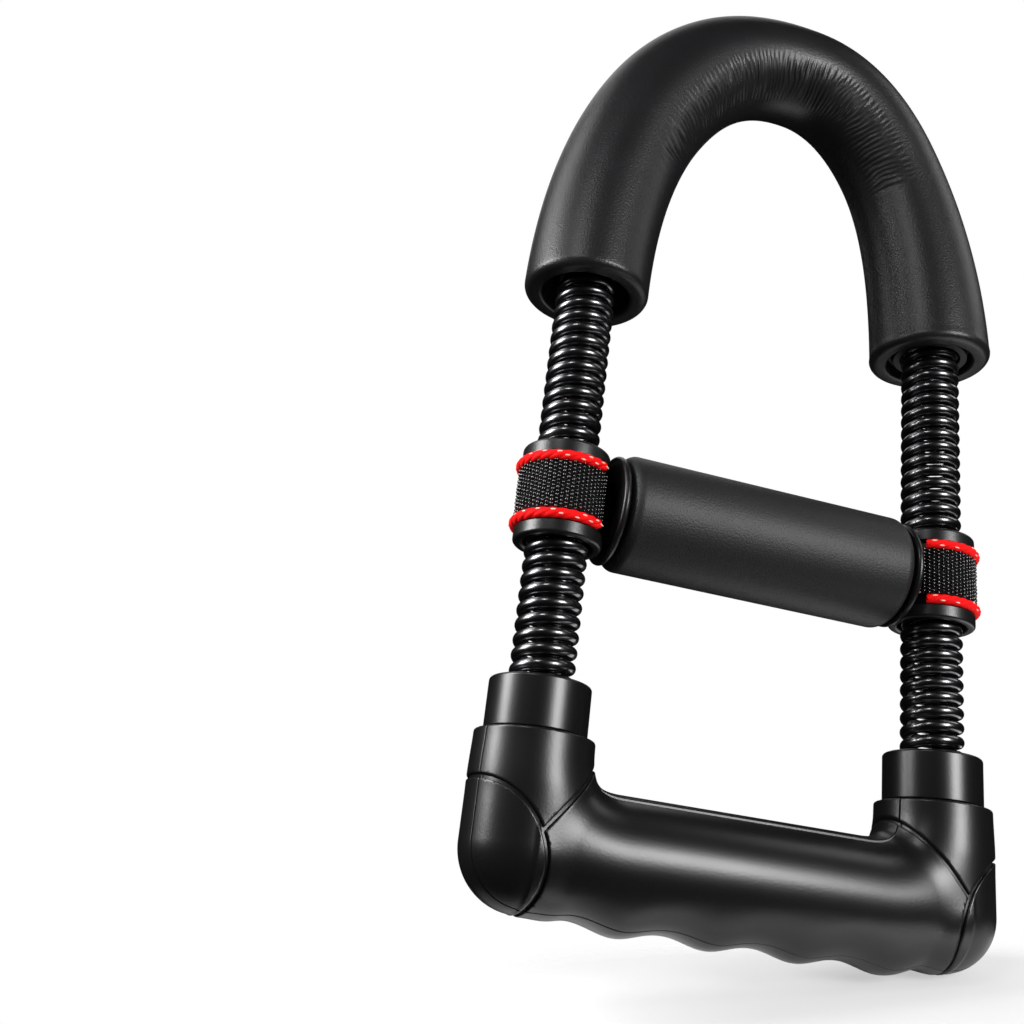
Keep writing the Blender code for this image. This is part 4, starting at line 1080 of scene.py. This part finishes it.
weaving = growing("floats_on_a_band", {
    "Ribs": RIB_COUNT, "Floats": round(2 * STRAP_HALF_WIDTH / FLOAT_PITCH),
    "Band Width": 2 * STRAP_HALF_WIDTH - FLOAT_PITCH,
    "Float Size": (FLOAT_WIDTH / 2, FLOAT_LENGTH / 2, FLOAT_THICKNESS), "Lean": FLOAT_LEAN, "Seed": 7})
given = add(weaving, "NodeGroupInput").outputs
net = add(weaving, "GeometryNodeMeshGrid", {"Size X": 1.0, "Size Y": given["Band Width"],
                                            "Vertices X": given["Ribs"], "Vertices Y": given["Floats"]})
place = add(weaving, "GeometryNodeInputPosition")
flat = add(weaving, "ShaderNodeSeparateXYZ", {0: place}).outputs
share = add(weaving, "ShaderNodeMath", {0: flat["X"], 1: 0.5}, operation="ADD")
sample = add(weaving, "GeometryNodeSampleCurve", {"Curves": given["Geometry"], "Factor": share},
             mode="FACTOR", use_all_curves=True).outputs
number = add(weaving, "GeometryNodeInputIndex")
column = add(weaving, "ShaderNodeMath", {0: number, 1: given["Floats"]}, operation="DIVIDE")
whole = add(weaving, "ShaderNodeMath", {0: column}, operation="FLOOR")
odd = add(weaving, "ShaderNodeMath", {0: whole, 1: 2.0}, operation="MODULO")
stagger = add(weaving, "ShaderNodeMath", {0: odd, 1: FLOAT_PITCH / 2, 2: flat["Y"]}, operation="MULTIPLY_ADD")
height = add(weaving, "ShaderNodeCombineXYZ", {"Z": stagger})
spot = add(weaving, "ShaderNodeVectorMath", {0: sample["Position"], 1: height}, operation="ADD")
upright = add(weaving, "ShaderNodeCombineXYZ", {"Z": 1.0})
outward = add(weaving, "ShaderNodeVectorMath", {0: sample["Tangent"], 1: upright}, operation="CROSS_PRODUCT")
aligned = add(weaving, "FunctionNodeAxesToRotation", {0: outward, 1: sample["Tangent"]},
              primary_axis="Z", secondary_axis="X")
chance = add(weaving, "FunctionNodeRandomValue", {2: -0.5, 3: 0.5, "Seed": given["Seed"]},
             data_type="FLOAT").outputs[1]
either = add(weaving, "ShaderNodeMath", {0: odd, 1: 2.0, 2: -1.0}, operation="MULTIPLY_ADD")
leaning = add(weaving, "ShaderNodeMath", {0: either, 1: LEAN_BY_RIB, 2: LEAN_OF_ALL},
              operation="MULTIPLY_ADD")
jitter = add(weaving, "ShaderNodeMath", {0: chance, 1: leaning}, operation="ADD")
lean = add(weaving, "ShaderNodeMath", {0: jitter, 1: given["Lean"]}, operation="MULTIPLY")
twist = add(weaving, "ShaderNodeCombineXYZ", {"Z": lean})
tilted = add(weaving, "FunctionNodeRotateRotation", {0: aligned, 1: twist}, rotation_space="LOCAL")
swelling = add(weaving, "FunctionNodeRandomValue", {
    2: FLOAT_SWELL[0], 3: FLOAT_SWELL[1], "Seed": given["Seed"]}, data_type="FLOAT").outputs[1]
size = add(weaving, "ShaderNodeVectorMath", {0: given["Float Size"], 3: swelling}, operation="SCALE")
moved = add(weaving, "GeometryNodeSetPosition", {"Geometry": net, "Position": spot})
knot = add(weaving, "GeometryNodeMeshUVSphere", {"Segments": 8, "Rings": 5, "Radius": 1.0})
soft = add(weaving, "GeometryNodeSetShadeSmooth", {"Geometry": knot})
woven = add(weaving, "GeometryNodeInstanceOnPoints", {"Points": moved, "Instance": soft,
                                                      "Rotation": tilted, "Scale": size})
real = add(weaving, "GeometryNodeRealizeInstances", {0: woven})
dyed = add(weaving, "GeometryNodeSetMaterial", {"Geometry": real, "Material": float_yarn})
add(weaving, "NodeGroupOutput", {0: dyed})
face = STRAP_RADIUS + STRAP_THICKNESS / 2
round_loop = np.linspace(math.pi - STRAP_LEAVES, STRAP_LEAVES - math.pi, FLOAT_STEPS)
for side, label in SIDES:
    arc = line_of(label + "_strap_floats", [
        (side * (LEG_X + face * math.cos(a)), side * face * math.sin(a), PAD_Z) for a in round_loop])
    floats = grown(arc, weaving)
    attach(floats, "pad_carriage")


# Piping cords: four-ply red polyester cord, laid against both edges of the strap and glued in the collar's
# channel. It is open towards the pad, where the strap leaves the collar. Pale flecks along both edges of each
# cord are painted glints on its plies.
CORD_RADIUS = 0.0014
CORD_PATH = 0.0120
CORD_ENDS = math.radians(50)
CORD_HEIGHT = 0.00815
PLY_COUNT = 4
PLY_RADIUS = 0.00082
PLY_LAY = 0.0110
FLECK_PITCH = 0.0019
FLECK_SIZE = (0.00072, 0.00018, 0.00024)
FLECK_SINK = 0.00008
FLECK_TILT = (0.15, 0.65)
FLECK_SHARE = 0.7
CORD_STEP = 0.0003
CORD_ROUTE_STEPS = 80

# Dyed polyester cord: bright red, matt and finely fibrous.
CORD_FIBRE = 0.0005
CORD_FIBRE_DEPTH = 0.00007

red, tree = material("dyed_polyester_cord")
spot = add(tree, "ShaderNodeTexCoord").outputs["Object"]
fibre = add(tree, "ShaderNodeTexNoise", {"Vector": spot, "Scale": 1 / CORD_FIBRE, "Detail": 2.0})
tone = add(tree, "ShaderNodeMix", {0: fibre, 6: linear("#F00608"), 7: linear("#FF0E10")}, data_type="RGBA")
relief = add(tree, "ShaderNodeBump", {"Height": fibre, "Distance": CORD_FIBRE_DEPTH})
shader = add(tree, "ShaderNodeBsdfPrincipled", {
    "Base Color": tone.outputs[2], "Roughness": 0.7, "Specular IOR Level": 0.15, "Normal": relief})
add(tree, "ShaderNodeOutputMaterial", {"Surface": shader})

# Painted glints on the cord: pale salmon-white flecks that catch the light a little more than the red.
pale, tree = material("pale_painted_glint_flecks")
spot = add(tree, "ShaderNodeTexCoord").outputs["Object"]
fibre = add(tree, "ShaderNodeTexNoise", {"Vector": spot, "Scale": 1 / CORD_FIBRE, "Detail": 1.0})
tone = add(tree, "ShaderNodeMix", {0: fibre, 6: linear("#F29A8C"), 7: linear("#FFDCCE")}, data_type="RGBA")
shader = add(tree, "ShaderNodeBsdfPrincipled", {"Base Color": tone.outputs[2], "Roughness": 0.4})
add(tree, "ShaderNodeOutputMaterial", {"Surface": shader})

laying = growing("plies_laid_round_a_path", {
    "Plies": PLY_COUNT, "Ply Radius": PLY_RADIUS, "Lay": PLY_LAY, "Cord Radius": CORD_RADIUS,
    "Fleck Pitch": FLECK_PITCH, "Fleck Size": FLECK_SIZE, "Seed": 3})
given = add(laying, "NodeGroupInput").outputs
heading = add(laying, "GeometryNodeInputTangent")
upright = add(laying, "ShaderNodeCombineXYZ", {"Z": 1.0})
sideways = add(laying, "ShaderNodeVectorMath", {0: heading, 1: upright}, operation="CROSS_PRODUCT")


def set_round(path, angle, reach):
    """Moves a path's points off it by a reach, at an angle up from sideways."""
    cosine = add(laying, "ShaderNodeMath", {0: angle}, operation="COSINE")
    sine = add(laying, "ShaderNodeMath", {0: angle}, operation="SINE")
    out_part = add(laying, "ShaderNodeMath", {0: cosine, 1: reach}, operation="MULTIPLY")
    up_part = add(laying, "ShaderNodeMath", {0: sine, 1: reach}, operation="MULTIPLY")
    out = add(laying, "ShaderNodeVectorMath", {0: sideways, 3: out_part}, operation="SCALE")
    up = add(laying, "ShaderNodeCombineXYZ", {"Z": up_part})
    shift = add(laying, "ShaderNodeVectorMath", {0: out, 1: up}, operation="ADD")
    return add(laying, "GeometryNodeSetPosition", {"Geometry": path, "Offset": shift})


fine = add(laying, "GeometryNodeResampleCurve", {"Curve": given["Geometry"], "Length": CORD_STEP},
           mode="LENGTH")
plies = add(laying, "GeometryNodeDuplicateElements", {"Geometry": fine, "Amount": given["Plies"]},
            domain="SPLINE").outputs
run = add(laying, "GeometryNodeSplineParameter").outputs["Length"]
turns = add(laying, "ShaderNodeMath", {0: run, 1: given["Lay"]}, operation="DIVIDE")
spread = add(laying, "ShaderNodeMath", {0: plies["Duplicate Index"], 1: given["Plies"]}, operation="DIVIDE")
phase = add(laying, "ShaderNodeMath", {0: turns, 1: spread}, operation="ADD")
turn = add(laying, "ShaderNodeMath", {0: phase, 1: 2 * math.pi}, operation="MULTIPLY")
off = add(laying, "ShaderNodeMath", {0: given["Cord Radius"], 1: given["Ply Radius"]}, operation="SUBTRACT")
laid = set_round(plies["Geometry"], turn, off)
yarn = add(laying, "GeometryNodeCurvePrimitiveCircle", {"Resolution": 12, "Radius": given["Ply Radius"]})
drawn = add(laying, "GeometryNodeCurveToMesh", {"Curve": laid, "Profile Curve": yarn, "Fill Caps": True})
smooth = add(laying, "GeometryNodeSetShadeSmooth", {"Geometry": drawn})
dyed = add(laying, "GeometryNodeSetMaterial", {"Geometry": smooth, "Material": red})
# Pale flecks along both edges of the cord, one every fleck pitch: painted glints on the plies.
stops = add(laying, "GeometryNodeResampleCurve", {"Curve": given["Geometry"], "Length": given["Fleck Pitch"]},
            mode="LENGTH")
number = add(laying, "GeometryNodeInputIndex")
odd = add(laying, "ShaderNodeMath", {0: number, 1: 2.0}, operation="MODULO")
either = add(laying, "ShaderNodeMath", {0: odd, 1: 2.0, 2: -1.0}, operation="MULTIPLY_ADD")
chance = add(laying, "FunctionNodeRandomValue", {
    2: FLECK_TILT[0], 3: FLECK_TILT[1], "Seed": given["Seed"]}, data_type="FLOAT").outputs[1]
tilt = add(laying, "ShaderNodeMath", {0: either, 1: chance}, operation="MULTIPLY")
skin = add(laying, "ShaderNodeMath", {0: given["Cord Radius"], 1: -FLECK_SINK}, operation="ADD")
moved = set_round(stops, tilt, skin)
aligned = add(laying, "FunctionNodeAxesToRotation", {0: heading, 1: upright},
              primary_axis="X", secondary_axis="Z")
speck = add(laying, "GeometryNodeMeshUVSphere", {"Segments": 8, "Rings": 5, "Radius": 1.0})
kept = add(laying, "FunctionNodeRandomValue", {6: FLECK_SHARE, "Seed": given["Seed"]},
           data_type="BOOLEAN").outputs[3]
flecks = add(laying, "GeometryNodeInstanceOnPoints", {
    "Points": moved, "Selection": kept, "Instance": speck, "Rotation": aligned, "Scale": given["Fleck Size"]})
real = add(laying, "GeometryNodeRealizeInstances", {0: flecks})
painted_glints = add(laying, "GeometryNodeSetMaterial", {"Geometry": real, "Material": pale})
joined = add(laying, "GeometryNodeJoinGeometry", {0: dyed})
laying.links.new(painted_glints.outputs[0], joined.inputs[0])
add(laying, "NodeGroupOutput", {0: joined})
sweep = np.linspace(CORD_ENDS, 2 * math.pi - CORD_ENDS, CORD_ROUTE_STEPS)
for side, label in SIDES:
    for end, height in (("upper", CORD_HEIGHT), ("lower", -CORD_HEIGHT)):
        path = line_of(f"{label}_{end}_cord", [
            (side * (LEG_X - CORD_PATH * math.cos(a)), -side * CORD_PATH * math.sin(a), PAD_Z + height)
            for a in sweep])
        cord = grown(path, laying)
        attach(cord, "pad_carriage")
        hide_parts(f"{label}_{end}_piping")


# Pad core: a bobbin moulded in black ABS with a round bead at each end, which turns on the strap.
PAD_RADIUS = 0.0161
PAD_END = 0.0447
PAD_BORE = 0.00738
PAD_TUBE = 0.00888
PAD_BEAD = 0.0020
PAD_BEAD_RADIUS = 0.0151
PAD_MOUTH = 0.0016
BEAD_EDGE = 0.49 * PAD_BEAD

core_outline = rounded([
    (PAD_BEAD_RADIUS, PAD_END, BEAD_EDGE), (PAD_BEAD_RADIUS, PAD_END - PAD_BEAD, BEAD_EDGE),
    (PAD_TUBE, PAD_END - PAD_BEAD, 0), (PAD_TUBE, PAD_BEAD - PAD_END, 0),
    (PAD_BEAD_RADIUS, PAD_BEAD - PAD_END, BEAD_EDGE), (PAD_BEAD_RADIUS, -PAD_END, BEAD_EDGE),
    (PAD_BORE, -PAD_END, PAD_MOUTH), (PAD_BORE, PAD_END, PAD_MOUTH)])
core = lathed("pad_core_bobbin", core_outline, (0, 0, PAD_Z), (1, 0, 0))
core.data.materials.append(collar_plastic)
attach(core, "pad_roller")
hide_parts("pad_core")


# Pad foam: a plain sleeve of the same rubber foam over the bobbin, its ends cut square and buffed round.
PAD_FOAM_END = 0.0419
PAD_FOAM_BORE = 0.00918
PAD_FOAM_EDGE = 0.0030
PAD_FOAM_MOUTH_EDGE = 0.0006
PAD_FOAM_FLAT = 0.037
PAD_FOAM_ROWS = 21
PAD_FOAM_STEPS = 160

pad_outline = rounded([
    (PAD_RADIUS, PAD_FOAM_END, PAD_FOAM_EDGE),
    *[(PAD_RADIUS, x, 0) for x in np.linspace(PAD_FOAM_FLAT, -PAD_FOAM_FLAT, PAD_FOAM_ROWS)],
    (PAD_RADIUS, -PAD_FOAM_END, PAD_FOAM_EDGE), (PAD_FOAM_BORE, -PAD_FOAM_END, PAD_FOAM_MOUTH_EDGE),
    (PAD_FOAM_BORE, PAD_FOAM_END, PAD_FOAM_MOUTH_EDGE)], steps=10)
pad = lathed("pad_foam_sleeve", pad_outline, (0, 0, PAD_Z), (1, 0, 0), PAD_FOAM_STEPS)
pad.data.materials.append(foam_rubber("closed_cell_rubber_foam_plain", "#161617", "#1B1B1D", roughness=0.50))
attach(pad, "pad_roller")
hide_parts("pad_foam")
